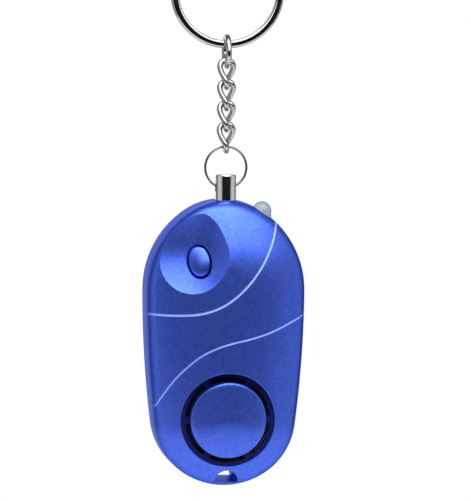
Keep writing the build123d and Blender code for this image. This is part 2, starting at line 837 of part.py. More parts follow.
def button_cell(number):
    """Button cell with its smaller cap to the left."""
    left_x = stack_x + number * cell_pitch
    cell = cross_bar(cell_cap_radius, cell_y, cell_z, left_x, left_x + cell_cap_height)
    return cell + cross_bar(cell_radius, cell_y, cell_z, left_x + cell_cap_height, left_x + cell_thickness)


def contact_tail(left_x):
    """Limits of a contact's tail, which runs up the back of the board."""
    foot_z = cell_z + contact_width / 2
    return (
        (left_x, left_x + contact_thickness), (board_back_y, board_back_y + contact_tail_width),
        (foot_z, board_foot_z + contact_tail_lap),
    )


def contact_plate(left_x):
    """Flat plate at the end of the row of cells, with its tail."""
    half = contact_width / 2
    x = (left_x, left_x + contact_thickness)
    plate = block(x, (cell_y - half, cell_y + half), (cell_z - half, cell_z + half))
    return plate + block(*contact_tail(left_x))


def battery_contact_positive():
    """Flat contact at the right end."""
    return contact_plate(flat_contact_x)


def battery_contact_negative():
    """Contact at the left end, with a pressed bulge that bears on the cell."""
    left_x = spring_contact_x
    right_x = left_x + contact_thickness
    bulge = cross_bar(contact_bulge_radius, cell_y, cell_z, right_x, right_x + contact_bulge)
    return contact_plate(left_x) + bulge


def battery_holder():
    """Cradle on the back shell, open to the front, with slots for the contact tails."""
    reach = holder_room / 2 + holder_wall
    half = cell_radius + cell_gap
    fore_y = holder_back_y - holder_depth
    tall = half + holder_wall
    room = (-holder_room / 2, holder_room / 2)
    holder = block((-reach, reach), (fore_y, holder_back_y), (cell_z - tall, cell_z + tall))
    holder -= cross_bar(half, cell_y, cell_z, *room)
    holder -= block(room, (fore_y - overrun, cell_y), (cell_z - half, cell_z + half))
    for left_x in (flat_contact_x, spring_contact_x):
        x, y, z = contact_tail(left_x)
        holder -= block((x[0] - seat_gap, x[1] + seat_gap), (y[0] - seat_gap, y[1] + seat_gap), z)
    return holder


def all_nodes():
    """Every piece under its own name."""
    nodes = {
        "split_ring": key_ring(),
        "connector_ring": connector_ring(),
        "pin_ring": pin_ring(),
        "pull_pin_cap": pull_pin_cap(),
        "pull_pin_stem": pull_pin_stem(),
        "front_shell": front_shell(),
        "back_shell": back_shell(),
        "light_button": light_button(),
        "switch_plunger": switch_plunger(),
        "tact_switch_body": tact_switch_body(),
        "pin_socket": pin_socket(),
        "socket_contact_spring": socket_contact_spring(),
        "led_lamp": led_lamp(),
        "led_leads": led_leads(),
        "circuit_board": circuit_board(),
        "siren_chip": siren_chip(),
        "resistors": resistors(),
        "step_up_coil": step_up_coil(),
        "drive_transistor": drive_transistor(),
        "capacitor": capacitor(),
        "board_screws": board_screws(),
        "case_screws": case_screws(),
        "sounder_ring": sounder_ring(),
        "sounder_diaphragm": sounder_diaphragm(),
        "piezo_ceramic": piezo_ceramic(),
        "battery_contact_positive": battery_contact_positive(),
        "battery_contact_negative": battery_contact_negative(),
        "battery_holder": battery_holder(),
    }
    for number in range(link_count):
        nodes[f"chain_link_{number + 1}"] = chain_link(first_link_top_z - number * link_pitch)
    for number in range(cell_count):
        nodes[f"button_cell_{number + 1}"] = button_cell(number)
    return nodes


if __name__ == "__main__":
    os.makedirs("parts", exist_ok=True)
    for name, solid in all_nodes().items():
        export_step(solid, f"parts/{name}.step")
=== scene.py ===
import json
import logging
import math
from dataclasses import dataclass, field
from enum import Enum
from typing import Any, Callable, Iterable, Sequence

import bmesh
import bpy
from mathutils import Matrix, Vector
from mathutils.bvhtree import BVHTree
from mathutils.kdtree import KDTree

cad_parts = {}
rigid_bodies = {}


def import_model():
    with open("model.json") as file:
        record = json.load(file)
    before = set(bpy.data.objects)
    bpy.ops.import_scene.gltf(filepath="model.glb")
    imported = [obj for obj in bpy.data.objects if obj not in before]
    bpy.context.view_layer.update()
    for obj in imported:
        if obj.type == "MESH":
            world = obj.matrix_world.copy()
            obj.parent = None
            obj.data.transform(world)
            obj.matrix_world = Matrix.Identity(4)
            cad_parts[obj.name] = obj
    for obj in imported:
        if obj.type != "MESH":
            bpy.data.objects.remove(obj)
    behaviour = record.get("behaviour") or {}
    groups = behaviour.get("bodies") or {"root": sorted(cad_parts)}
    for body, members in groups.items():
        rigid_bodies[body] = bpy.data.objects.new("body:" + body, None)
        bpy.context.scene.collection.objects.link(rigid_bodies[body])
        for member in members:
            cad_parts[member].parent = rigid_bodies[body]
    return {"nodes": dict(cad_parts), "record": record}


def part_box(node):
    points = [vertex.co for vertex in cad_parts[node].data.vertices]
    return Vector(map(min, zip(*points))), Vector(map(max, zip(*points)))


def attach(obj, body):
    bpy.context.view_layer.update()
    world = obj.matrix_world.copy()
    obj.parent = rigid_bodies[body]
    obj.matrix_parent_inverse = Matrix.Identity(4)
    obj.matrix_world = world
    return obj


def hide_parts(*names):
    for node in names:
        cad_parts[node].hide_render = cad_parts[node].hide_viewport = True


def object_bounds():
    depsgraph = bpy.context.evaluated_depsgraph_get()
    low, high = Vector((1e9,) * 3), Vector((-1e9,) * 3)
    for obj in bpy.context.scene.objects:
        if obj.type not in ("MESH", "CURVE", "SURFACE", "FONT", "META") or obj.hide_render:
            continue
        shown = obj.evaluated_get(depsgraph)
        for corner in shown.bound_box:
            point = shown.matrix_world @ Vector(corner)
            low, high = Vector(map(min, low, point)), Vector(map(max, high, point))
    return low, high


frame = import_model()
CAD_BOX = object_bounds()

log = logging.getLogger("alarm")
Mesh = bmesh.types.BMesh
Pair = tuple[float, float]
Triple = tuple[float, float, float]
MM = 0.001
PHOTO_LONG_SIDE = 501
# Depth ahead of the whole part, where rays towards it start
AHEAD_Y = -40.0
RIGHT, REAR, UP = Vector((1.0, 0.0, 0.0)), Vector((0.0, 1.0, 0.0)), Vector((0.0, 0.0, 1.0))


# Shader expressions

def math_method(operation: str, reflected: bool = False) -> Callable[["Value", Any], "Value"]:
    """Method of a value that adds one Math node.

    Args:
        operation: the node's operation.
        reflected: whether the value stands on the right.

    Returns:
        The method.
    """
    def method(value: "Value", other: Any) -> "Value":
        """Adds the node for this value and another."""
        return value.board.math(operation, *((other, value) if reflected else (value, other)))

    return method


class Value:
    """A number that changes over a surface, written with Python's operators.

    Its method above gives one where the value is over a limit, else zero.
    """

    def __init__(self, board: "Board", socket: Any) -> None:
        """Wraps a socket.

        Args:
            board: the node board the socket belongs to.
            socket: an output socket.
        """
        self.board = board
        self.socket = socket

    __add__, __radd__ = math_method("ADD"), math_method("ADD", True)
    __sub__, __rsub__ = math_method("SUBTRACT"), math_method("SUBTRACT", True)
    __mul__, __rmul__ = math_method("MULTIPLY"), math_method("MULTIPLY", True)
    above = math_method("GREATER_THAN")


class Board:
    """The node tree of one material or of the world, with its node makers."""

    def __init__(self, tree: Any) -> None:
        """Empties the tree of a material or a world."""
        self.tree = tree
        tree.nodes.clear()

    def node(
        self, kind: str, settings: dict[str, Any] | None = None, inputs: Sequence[Any] = (), **sockets: Any,
    ) -> Any:
        """Adds a node.

        Args:
            kind: the node's type.
            settings: properties set before the sockets.
            inputs: values or links for the first sockets, in order.
            sockets: values or links, named after the sockets with underscores for spaces.

        Returns:
            The new node.
        """
        made = self.tree.nodes.new(kind)
        for name, value in (settings or {}).items():
            setattr(made, name, value)
        for socket, value in zip(made.inputs, inputs):
            self.feed(socket, value)
        for name, value in sockets.items():
            self.feed(made.inputs[name.replace("_", " ")], value)
        return made

    def feed(self, socket: Any, value: Any) -> None:
        """Links or sets one input socket.

        Args:
            socket: the socket.
            value: a value, an output socket or a plain setting.
        """
        source = value.socket if isinstance(value, Value) else value
        if isinstance(source, bpy.types.NodeSocket):
            self.tree.links.new(source, socket)
        else:
            socket.default_value = source

    def math(self, operation: str, first: Any, second: Any) -> Value:
        """Math node of two values or links."""
        made = self.node("ShaderNodeMath", {"operation": operation}, (first, second))
        return Value(self, made.outputs[0])

    def mix(self, share: Any, low: Any, high: Any) -> Any:
        """Mix of two shaders, with the second one's share."""
        return self.node("ShaderNodeMixShader", inputs=(share, low.outputs[0], high.outputs[0]))

    def place(self) -> Any:
        """Object coordinates of the piece."""
        return self.node("ShaderNodeTexCoord").outputs["Object"]

    def noise(self, per_metre: float, detail: float = 3.0, roughness: float = 0.5) -> Value:
        """Smooth noise round a half, with blotches per metre and octaves of finer ones by their weight."""
        made = self.node(
            "ShaderNodeTexNoise", Vector=self.place(), Scale=per_metre, Detail=detail, Roughness=roughness,
        )
        return Value(self, made.outputs["Fac"])

    def cells(self, per_metre: float) -> Value:
        """Random grey of small cells, such as flakes in a paint."""
        made = self.node("ShaderNodeTexVoronoi", Vector=self.place(), Scale=per_metre)
        grey = self.node("ShaderNodeSeparateColor", Color=made.outputs["Color"])
        return Value(self, grey.outputs["Red"])

    def axis(self, name: str) -> Value:
        """Object coordinate along one axis, in metres."""
        return Value(self, self.node("ShaderNodeSeparateXYZ", Vector=self.place()).outputs[name])

    def ramp(self, value: Value, stops: Sequence[tuple[float, Sequence[float]]]) -> Any:
        """Colour ramp.

        Args:
            value: what chooses the colour.
            stops: places from 0 to 1 with their colours.

        Returns:
            The colour output.
        """
        made = self.node("ShaderNodeValToRGB", Fac=value)
        marks = made.color_ramp.elements
        while len(marks) < len(stops):
            marks.new(0.5)
        for mark, (place, colour) in zip(marks, stops):
            mark.position = place
            mark.color = (*colour, 1.0)
        return made.outputs["Color"]

    def blend(self, share: Any, low: Any, high: Any) -> Any:
        """Mix of two colours.

        Args:
            share: how much of the second colour.
            low: the first colour, a tuple or a link.
            high: the second colour.

        Returns:
            The colour output.
        """
        made = self.node("ShaderNodeMix", {"data_type": "RGBA"}, (share,))
        for socket, colour in ((made.inputs[6], low), (made.inputs[7], high)):
            self.feed(socket, (*colour, 1.0) if isinstance(colour, tuple) else colour)
        return made.outputs[2]

    def bump(self, height: Value, depth_mm: float, strength: float = 1.0) -> Any:
        """Normal from a relief's height between 0 and 1, its depth and how much of it shows."""
        made = self.node("ShaderNodeBump", Height=height, Distance=depth_mm * MM, Strength=strength)
        return made.outputs["Normal"]


# Finishes

@dataclass(frozen=True)
class Finish:
    """A surface finish that turns into one material.

    Args:
        name: the material's name.
        colour: main colour.
        metallic: how metallic it is.
        roughness: mean roughness.
        roughness_spread: how far roughness strays.
        mottle: how far the colour strays.
        blotches: blotches of the colour per metre.
        grain: bumps per metre.
        grain_depth: depth of the bumps in millimetres.
        coat: weight of a clear coat.
    """

    name: str
    colour: Triple
    metallic: float = 0.0
    roughness: float = 0.5
    roughness_spread: float = 0.06
    mottle: float = 0.08
    blotches: float = 300.0
    grain: float = 4000.0
    grain_depth: float = 0.004
    coat: float = 0.0

    def lighter(self, share: float) -> Triple:
        """Main colour times a share, up to full brightness."""
        return tuple(min(1.0, part * share) for part in self.colour)

    def shade(self, board: Board) -> dict[str, Any]:
        """Sockets of the shader, by name.

        Args:
            board: the material's board.

        Returns:
            Socket names with values or links.
        """
        blotch = board.noise(self.blotches)
        spread = (board.noise(self.blotches * 3.0) - 0.5) * (2.0 * self.roughness_spread)
        return {
            "Base_Color": board.blend(blotch, self.lighter(1.0 - self.mottle), self.lighter(1.0 + self.mottle)),
            "Roughness": self.roughness + spread,
            "Normal": board.bump(board.noise(self.grain), self.grain_depth),
            "Metallic": self.metallic,
            "Coat_Weight": self.coat,
        }

    def material(self) -> bpy.types.Material:
        """Builds the material once and returns it."""
        made = bpy.data.materials.get(self.name)
        if made:
            return made
        made = bpy.data.materials.new(self.name)
        made.use_nodes = True
        board = Board(made.node_tree)
        skin = board.node("ShaderNodeBsdfPrincipled", **self.shade(board))
        board.node("ShaderNodeOutputMaterial", Surface=skin.outputs["BSDF"])
        made.diffuse_color = (*self.colour, 1.0)
        return made


@dataclass(frozen=True)
class FlakePaint(Finish):
    """Satin metallic paint on moulded plastic.

    Args:
        flakes: flakes per metre.
        flake_colour: colour of the flakes that catch the light.
        flake_share: how much the flakes change the colour.
        flake_spread: how far they change the roughness.
        flake_relief: how much of their relief shows.
        coat_roughness: roughness of the clear coat.
        edge_colour: colour at grazing angles.
    """

    flakes: float = 5200.0
    flake_colour: Triple = (0.26, 0.42, 0.98)
    flake_share: float = 0.22
    flake_spread: float = 0.06
    flake_relief: float = 0.35
    coat_roughness: float = 0.30
    edge_colour: Triple = (0.03, 0.22, 0.60)

    def shade(self, board: Board) -> dict[str, Any]:
        """Sockets of the shader, with flakes and a tinted edge.

        Args:
            board: the material's board.

        Returns:
            Socket names with values or links.
        """
        sockets = super().shade(board)
        flake = board.cells(self.flakes)
        return sockets | {
            "Base_Color": board.blend(flake * self.flake_share, sockets["Base_Color"], self.flake_colour),
            "Roughness": sockets["Roughness"] + (flake - 0.5) * self.flake_spread,
            "Normal": board.bump(flake, self.grain_depth, self.flake_relief),
            "Coat_Roughness": self.coat_roughness,
            "Specular_Tint": (*self.edge_colour, 1.0),
        }


@dataclass(frozen=True)
class BrightPlate(Finish):
    """Bright nickel or chrome plate with faint polishing marks.

    Args:
        marks: polishing marks per metre.
        mark_limit: over which noise a mark is a scuff.
        mark_roughness: how much rougher a scuff is.
        mark_relief: how much of the marks' relief shows.
    """

    metallic: float = 1.0
    marks: float = 900.0
    mark_limit: float = 0.62
    mark_roughness: float = 0.03
    mark_relief: float = 0.2

    def shade(self, board: Board) -> dict[str, Any]:
        """Sockets of the shader, with polishing marks.

        Args:
            board: the material's board.

        Returns:
            Socket names with values or links.
        """
        scuff = board.noise(self.marks, 6.0, 0.7)
        rough = scuff.above(self.mark_limit) * self.mark_roughness + (scuff - 0.5) * self.roughness_spread
        return super().shade(board) | {
            "Roughness": self.roughness + rough,
            "Normal": board.bump(scuff, self.grain_depth, self.mark_relief),
        }


@dataclass(frozen=True)
class MilkyResin(Finish):
    """Cast resin of a lamp, milky and partly clear.

    Args:
        milk: weight of the light scattered inside.
        milk_depth: how far it is scattered, in millimetres.
        clearness: how much light passes.
        bending: index of refraction.
    """

    milk: float = 0.35
    milk_depth: float = 3.0
    clearness: float = 0.5
    bending: float = 1.5

    def shade(self, board: Board) -> dict[str, Any]:
        """Sockets of the shader, which let light into the resin.

        Args:
            board: the material's board.

        Returns:
            Socket names with values or links.
        """
        return super().shade(board) | {
            "Subsurface_Weight": self.milk, "Subsurface_Radius": (self.milk_depth * MM,) * 3,
            "Transmission_Weight": self.clearness, "IOR": self.bending,
        }


@dataclass(frozen=True)
class TracedBoard(Finish):
    """Green solder mask over copper tracks.

    Args:
        pitch: half distances between the tracks across and along, in metres.
        track: how far from each line its track starts.
        glint: how much lighter the tracks are.
    """

    pitch: Pair = (0.0011, 0.0023)
    track: Pair = (0.0009, 0.0020)
    glint: float = 1.6

    def shade(self, board: Board) -> dict[str, Any]:
        """Sockets of the shader, with lighter tracks.

        Args:
            board: the material's board.

        Returns:
            Socket names with values or links.
        """
        sockets = super().shade(board)
        across, along = (
            board.math("PINGPONG", board.axis(axis), pitch).above(track)
            for axis, pitch, track in zip("XZ", self.pitch, self.track)
        )
        track = board.math("MAXIMUM", across, along)
        return sockets | {"Base_Color": board.blend(track, sockets["Base_Color"], self.lighter(self.glint))}


class Finishes(Enum):
    """Every finish of the alarm."""

    BLUE_PAINT = FlakePaint("blue_paint", (0.041, 0.094, 0.65), metallic=0.84, roughness=0.34, mottle=0.05, coat=0.12)
    # Painted light: the button has the housing's blue paint, made lighter here for the light its dome catches.
    BUTTON_LIT_PAINT = FlakePaint("button_paint_lit", (0.050, 0.112, 0.74), metallic=0.9, roughness=0.33, coat=0.12)
    # Painted highlight: a lighter blue on the styling lines' faces, for the light that their lips catch.
    LINE_HIGHLIGHT = FlakePaint("line_painted_highlight", (0.34, 0.50, 1.0), metallic=0.5, roughness=0.42, coat=0.1)
    # Painted shade: the sounder groove's walls and floor are painted darker than the housing's blue, the floor
    # darkest, for the shade inside the groove.
    GROOVE_WALL_SHADE = Finish("groove_wall_painted_shade", (0.010, 0.018, 0.260), metallic=0.8, roughness=0.55, grain_depth=0.01)
    GROOVE_FLOOR_SHADE = Finish("groove_floor_painted_shade", (0.006, 0.010, 0.110), metallic=0.8, roughness=0.6, grain_depth=0.01)
    RING_NICKEL = BrightPlate("ring_nickel", (0.46, 0.46, 0.47), roughness=0.1, mottle=0.04)
    LINK_NICKEL = BrightPlate("link_nickel", (0.42, 0.42, 0.42), roughness=0.13, mottle=0.04)
    # Painted shade: the pin ring's nickel is painted about half as light as the other rings, for the dark
    # surroundings it reflects.
    PIN_RING_SHADE = BrightPlate("pin_ring_painted_shade", (0.22, 0.22, 0.23), roughness=0.2, mottle=0.04)
    PIN_CHROME = BrightPlate("pin_chrome", (0.84, 0.84, 0.85), roughness=0.07, mottle=0.02)
    PIN_NYLON = Finish("pin_nylon", (0.84, 0.84, 0.81), roughness=0.45)
    BLACK_MOULDING = Finish("black_moulding", (0.022, 0.022, 0.025), roughness=0.5, grain_depth=0.008)
    LAMP_RESIN = MilkyResin("lamp_resin", (0.52, 0.57, 0.62), roughness=0.16, mottle=0.05, blotches=500.0)
    TINNED_WIRE = BrightPlate("tinned_wire", (0.62, 0.62, 0.63), roughness=0.3)
    SOLDER_MASK = TracedBoard("solder_mask", (0.012, 0.13, 0.045), roughness=0.35, coat=0.3)
    CHIP_MOULDING = Finish("chip_moulding", (0.018, 0.018, 0.018), roughness=0.55, grain_depth=0.006)
    FERRITE = Finish("ferrite", (0.045, 0.042, 0.042), roughness=0.7, grain=2500.0, grain_depth=0.01)
    CAN_ALUMINIUM = BrightPlate("can_aluminium", (0.62, 0.63, 0.64), roughness=0.35)
    # Painted shade: the sounder's brass diaphragm is painted near-black, for the shade behind the groove's slots.
    DIAPHRAGM_SHADE = BrightPlate("diaphragm_painted_shade", (0.030, 0.026, 0.040), roughness=0.45)
    PIEZO_WHITE = Finish("piezo_white", (0.78, 0.76, 0.71), roughness=0.65, grain_depth=0.006)
    CELL_STEEL = BrightPlate("cell_steel", (0.60, 0.60, 0.61), roughness=0.28)
    CONTACT_STEEL = BrightPlate("contact_steel", (0.58, 0.58, 0.57), roughness=0.33)
    SCREW_ZINC = BrightPlate("screw_zinc", (0.46, 0.46, 0.47), roughness=0.38, mottle=0.12)


CAD_FINISHES: dict[str, Finishes] = {
    "bright_steel": Finishes.RING_NICKEL, "pin_chrome": Finishes.PIN_CHROME, "blue_shell": Finishes.BLUE_PAINT,
    "blue_button": Finishes.BUTTON_LIT_PAINT, "white_nylon": Finishes.PIN_NYLON,
    "black_plastic": Finishes.BLACK_MOULDING, "milky_lamp": Finishes.LAMP_RESIN,
    "plated_wire": Finishes.TINNED_WIRE, "board": Finishes.SOLDER_MASK, "chip": Finishes.CHIP_MOULDING,
    "ferrite": Finishes.FERRITE, "chip_resistor": Finishes.FERRITE, "can": Finishes.CAN_ALUMINIUM,
    "brass_disc": Finishes.DIAPHRAGM_SHADE, "white_ceramic": Finishes.PIEZO_WHITE, "cell_steel": Finishes.CELL_STEEL,
    "contact_steel": Finishes.CONTACT_STEEL, "screw_steel": Finishes.SCREW_ZINC,
}


# Mesh helpers, which work in millimetres

def full_turn(count: int) -> list[float]:
    """Angles of a full turn in equal steps."""
    return [2.0 * math.pi * step / count for step in range(count)]


def arc(x: float, z: float, radius: float, start: float, end: float, steps: int) -> list[Pair]:
    """Points of a profile's arc, from one angle in degrees to another."""
    turns = [math.radians(start + (end - start) * step / steps) for step in range(steps + 1)]
    return [(x + radius * math.cos(turn), z + radius * math.sin(turn)) for turn in turns]


def linked(name: str, data: Any) -> bpy.types.Object:
    """New object in the scene.

    Args:
        name: the object's name.
        data: its mesh, curve, lamp or camera.

    Returns:
        The object.
    """
    made = bpy.data.objects.new(name, data)
    bpy.context.scene.collection.objects.link(made)
    return made


def stored(mesh: Mesh, name: str) -> bpy.types.Mesh:
    """Mesh data from a working mesh.

    Args:
        mesh: the working mesh, which is freed.
        name: the data's name.

    Returns:
        The mesh data.
    """
    data = bpy.data.meshes.new(name)
    mesh.to_mesh(data)
    mesh.free()
    return data


def evaluated(holder: bpy.types.Object) -> Mesh:
    """Working mesh of an object as its modifiers or its wire shape it.

    Args:
        holder: the object, which is removed with its data.

    Returns:
        The working mesh.
    """
    done = bpy.data.meshes.new_from_object(holder.evaluated_get(bpy.context.evaluated_depsgraph_get()))
    mesh = bmesh.new()
    mesh.from_mesh(done)
    source = holder.data
    bpy.data.objects.remove(holder)
    bpy.data.batch_remove((source, done))
    return mesh


def next_loop(mesh: Mesh, verts: list[Any], places: Sequence[Vector]) -> list[Any]:
    """Extrudes a ring of vertices to new places.

    Args:
        mesh: the mesh.
        verts: the ring, in order.
        places: where the new ring lies, in the same order.

    Returns:
        The new ring, in order.
    """
    edges = [mesh.edges.get(pair) for pair in zip(verts, [*verts[1:], verts[0]])]
    made = bmesh.ops.extrude_edge_only(mesh, edges=edges)
    fresh = [item for item in made["geom"] if isinstance(item, bmesh.types.BMVert)]
    ordered: list[Any] = [None] * len(verts)
    for vert in fresh:
        others = (edge.other_vert(vert) for edge in vert.link_edges)
        partner = min((one for one in others if one not in fresh), key=lambda one: (one.co - vert.co).length)
        ordered[verts.index(partner)] = vert
    for vert, place in zip(ordered, places):
        vert.co = place
    return ordered


def tower(rings: Sequence[Sequence[Vector]]) -> Mesh:
    """Closed skin over a stack of rings with one number of points each.

    Args:
        rings: the rings from one end to the other.

    Returns:
        The mesh, with both ends filled.
    """
    mesh = bmesh.new()
    bmesh.ops.create_circle(mesh, segments=len(rings[0]), radius=1.0)
    verts = first = list(mesh.verts)
    for vert, place in zip(verts, rings[0]):
        vert.co = place
    for ring in rings[1:]:
        verts = next_loop(mesh, verts, ring)
    for end in (first, verts):
        bmesh.ops.contextual_create(mesh, geom=end)
    bmesh.ops.recalc_face_normals(mesh, faces=mesh.faces)
    return mesh


def circle_ring(radius: float, x: float, y: float, z: float, count: int) -> list[Vector]:
    """Points of a circle that faces the front."""
    return [Vector((x + radius * math.cos(turn), y, z + radius * math.sin(turn))) for turn in full_turn(count)]


def bar(radius: float, x: float, z: float, rear_y: float, fore_y: float, count: int = 96) -> Mesh:
    """Round bar along Y."""
    return tower([circle_ring(radius, x, y, z, count) for y in (rear_y, fore_y)])


def post(radius: float, x: float, y: float, low_z: float, high_z: float, count: int = 96) -> Mesh:
    """Round bar along Z."""
    return tower([
        [Vector((x + radius * math.cos(turn), y + radius * math.sin(turn), z)) for turn in full_turn(count)]
        for z in (low_z, high_z)
    ])


def ball(radius: float, centre: Vector, across: int, lean: Vector, reach: float) -> Mesh:
    """Ball whose upper half is drawn out smoothly.

    Args:
        radius: the ball's radius.
        centre: its centre.
        across: facets round it.
        lean: how far a point moves that lies one reach over the centre.
        reach: that distance.

    Returns:
        The closed mesh.
    """
    mesh = bmesh.new()
    bmesh.ops.create_uvsphere(
        mesh, u_segments=across, v_segments=across // 2, radius=radius, matrix=Matrix.Translation(centre),
    )
    for vert in mesh.verts:
        rise = max(0.0, vert.co.z - centre.z) / reach
        vert.co += lean * rise * rise
    return mesh


def spun(profile: Sequence[Pair], centre: Vector, axis: Vector, count: int, closed: bool = False) -> Mesh:
    """Turned piece.

    Args:
        profile: distance from the axis and height along it, from end to end.
        centre: a point on the axis at height zero.
        axis: the axis, along Z or Y.
        count: facets round the axis.
        closed: whether the profile closes on itself, where it otherwise ends on the axis.

    Returns:
        The closed mesh.
    """
    mesh = bmesh.new()
    verts = [mesh.verts.new(centre + RIGHT * reach + axis * height) for reach, height in profile]
    edges = [mesh.edges.new(pair) for pair in zip(verts, [*verts[1:], *verts[:1]] if closed else verts[1:])]
    bmesh.ops.spin(
        mesh, geom=verts + edges, cent=centre, axis=axis, angle=2.0 * math.pi, steps=count, use_merge=True,
    )
    return cleaned(mesh)


def cleaned(mesh: Mesh) -> Mesh:
    """Joins doubled vertices and turns the faces outwards.

    Args:
        mesh: the mesh, which is changed.

    Returns:
        The same mesh.
    """
    bmesh.ops.remove_doubles(mesh, verts=mesh.verts, dist=1e-4)
    bmesh.ops.recalc_face_normals(mesh, faces=mesh.faces)
    return mesh


def curve_mesh(kind: str, places: Sequence[Sequence[float]], radius: float = 0.0) -> Mesh:
    """Mesh of a curve.

    Args:
        kind: POLY for a closed loop of round wire, NURBS for a smooth open line.
        places: its points.
        radius: the wire's radius, zero for a bare line.

    Returns:
        The wire's skin or the line's points.
    """
    curve = bpy.data.curves.new("route", "CURVE")
    curve.dimensions = "3D"
    curve.bevel_depth, curve.bevel_resolution, curve.resolution_u = radius, 7, 24
    spline = curve.splines.new(kind)
    spline.points.add(len(places) - 1)
    for point, place in zip(spline.points, places):
        point.co = (*place, 1.0)
    if kind == "NURBS":
        spline.order_u, spline.use_endpoint_u = 3, True
    else:
        spline.use_cyclic_u = True
    return evaluated(linked("route", curve))


def draped(places: Iterable[Vector], depth: Callable[[Vector], float]) -> list[Vector]:
    """The places in front view, each at a depth of its own."""
    return [Vector((place.x, depth(place), place.z)) for place in places]


def ray_depth(tree: Any, place: Vector, start_y: float = AHEAD_Y) -> float:
    """Depth at which a ray towards the rear meets a surface, in front view at a place."""
    return tree.ray_cast(Vector((place.x, start_y, place.z)), REAR)[0].y


def combine(base: Mesh, operation: str, tools: Iterable[Mesh]) -> Mesh:
    """Boolean of a mesh with several others in turn.

    Args:
        base: the mesh that stays.
        operation: DIFFERENCE or UNION.
        tools: the meshes that cut or join it.

    Returns:
        The resulting mesh.
    """
    for tool in tools:
        keep, cutter = linked("keep", stored(base, "keep")), linked("cutter", stored(tool, "cutter"))
        step = keep.modifiers.new("step", "BOOLEAN")
        step.operation, step.solver, step.object = operation, "EXACT", cutter
        base = evaluated(keep)
        data = cutter.data
        bpy.data.objects.remove(cutter)
        bpy.data.meshes.remove(data)
    return base


def piece(
    mesh: Mesh, name: str, body: str, finish: Finishes, node: str, sharp: float = 32.0,
) -> bpy.types.Object:
    """Turns a mesh in millimetres into a finished piece.

    Args:
        mesh: the mesh, which is freed.
        name: the piece's name.
        body: the body it moves with.
        finish: its finish.
        node: the node it stands for.
        sharp: angle over which an edge stays crisp, in degrees.

    Returns:
        The new object.
    """
    bmesh.ops.scale(mesh, vec=(MM, MM, MM), verts=mesh.verts)
    for face in mesh.faces:
        face.smooth = True
    data = stored(mesh, name)
    data.set_sharp_from_angle(angle=math.radians(sharp))
    data.materials.append(finish.value.material())
    made = linked(name, data)
    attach(made, body)
    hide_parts(node)
    log.info("%s rides on %s with %d faces", name, body, len(data.polygons))
    return made


def node_box(name: str) -> tuple[Vector, Vector]:
    """Lowest and highest corner of a node in millimetres."""
    low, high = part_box(name)
    return low / MM, high / MM


def foot_middle(low: Vector, high: Vector) -> Vector:
    """Middle of a box's lower face."""
    return Vector(((low.x + high.x) / 2.0, (low.y + high.y) / 2.0, low.z))


# The housing's outline and surfaces

@dataclass(frozen=True)
class Outline:
    """Outline of the housing seen from the front, a chain of tangent arcs.

    Args:
        half_width: widest half width.
        height: height of the housing.
        top_z: height of its top.
        crown_radius: radius of the arc at the top.
        crown_sweep: half sweep of that arc in degrees.
        side_radius: radius of the long side arcs.
        foot_corner_radius: radius of the lower corners.
        foot_corner_sweep: where the lower corners end, in degrees from straight up.
        spacing: distance between points.
    """

    half_width: float
    height: float
    top_z: float
    crown_radius: float = 17.5
    crown_sweep: float = 33.0
    side_radius: float = 280.0
    foot_corner_radius: float = 17.7
    foot_corner_sweep: float = 148.0
    spacing: float = 1.0

    def arcs(self) -> list[tuple[Pair, float, float]]:
        """Centre, radius and end angle of each arc of the right side, from the top down."""
        sweep, corner = math.radians(self.crown_sweep), math.radians(self.foot_corner_sweep)
        share = math.sin(sweep)
        shoulder_radius = (self.half_width - self.crown_radius * share) / (1.0 - share)
        step = self.crown_radius - shoulder_radius
        crown = (0.0, -self.crown_radius)
        shoulder = (step * math.sin(sweep), crown[1] + step * math.cos(sweep))
        side = (shoulder[0] + shoulder_radius - self.side_radius, shoulder[1])
        lean = 1.0 / math.tan(corner / 2.0)
        reach = self.side_radius - self.foot_corner_radius
        target = self.foot_corner_radius - self.height - side[1] + lean * side[0]
        side_end = math.acos(target / (reach * math.hypot(1.0, lean))) - math.atan(lean)
        low = (side[0] + reach * math.sin(side_end), side[1] + reach * math.cos(side_end))
        foot_radius = self.foot_corner_radius + low[0] / math.sin(corner)
        foot = (0.0, low[1] + (self.foot_corner_radius - foot_radius) * math.cos(corner))
        return [
            (crown, self.crown_radius, sweep), (shoulder, shoulder_radius, math.pi / 2.0),
            (side, self.side_radius, side_end), (low, self.foot_corner_radius, corner),
            (foot, foot_radius, math.pi),
        ]

    def angles(self) -> list[tuple[int, float]]:
        """Arc number and normal angle of each point of the right side, from the top down."""
        marks: list[tuple[int, float]] = []
        start = 0.0
        for number, (_, radius, end) in enumerate(self.arcs()):
            count = max(2, round(radius * (end - start) / self.spacing))
            marks += [(number, start + (end - start) * step / count) for step in range(count)]
            start = end
        marks.append((number, math.pi))
        return marks

    def ring(self, inset: float, y: float) -> list[Vector]:
        """Points of the outline, moved inwards, at a depth."""
        arcs = self.arcs()
        right = []
        for number, angle in self.angles():
            (x, z), radius, _ = arcs[number]
            reach = radius - inset
            right.append((x + reach * math.sin(angle), z + reach * math.cos(angle)))
        left = [(-x, z) for x, z in reversed(right[1:-1])]
        return [Vector((x, y, self.top_z + z)) for x, z in right + left]


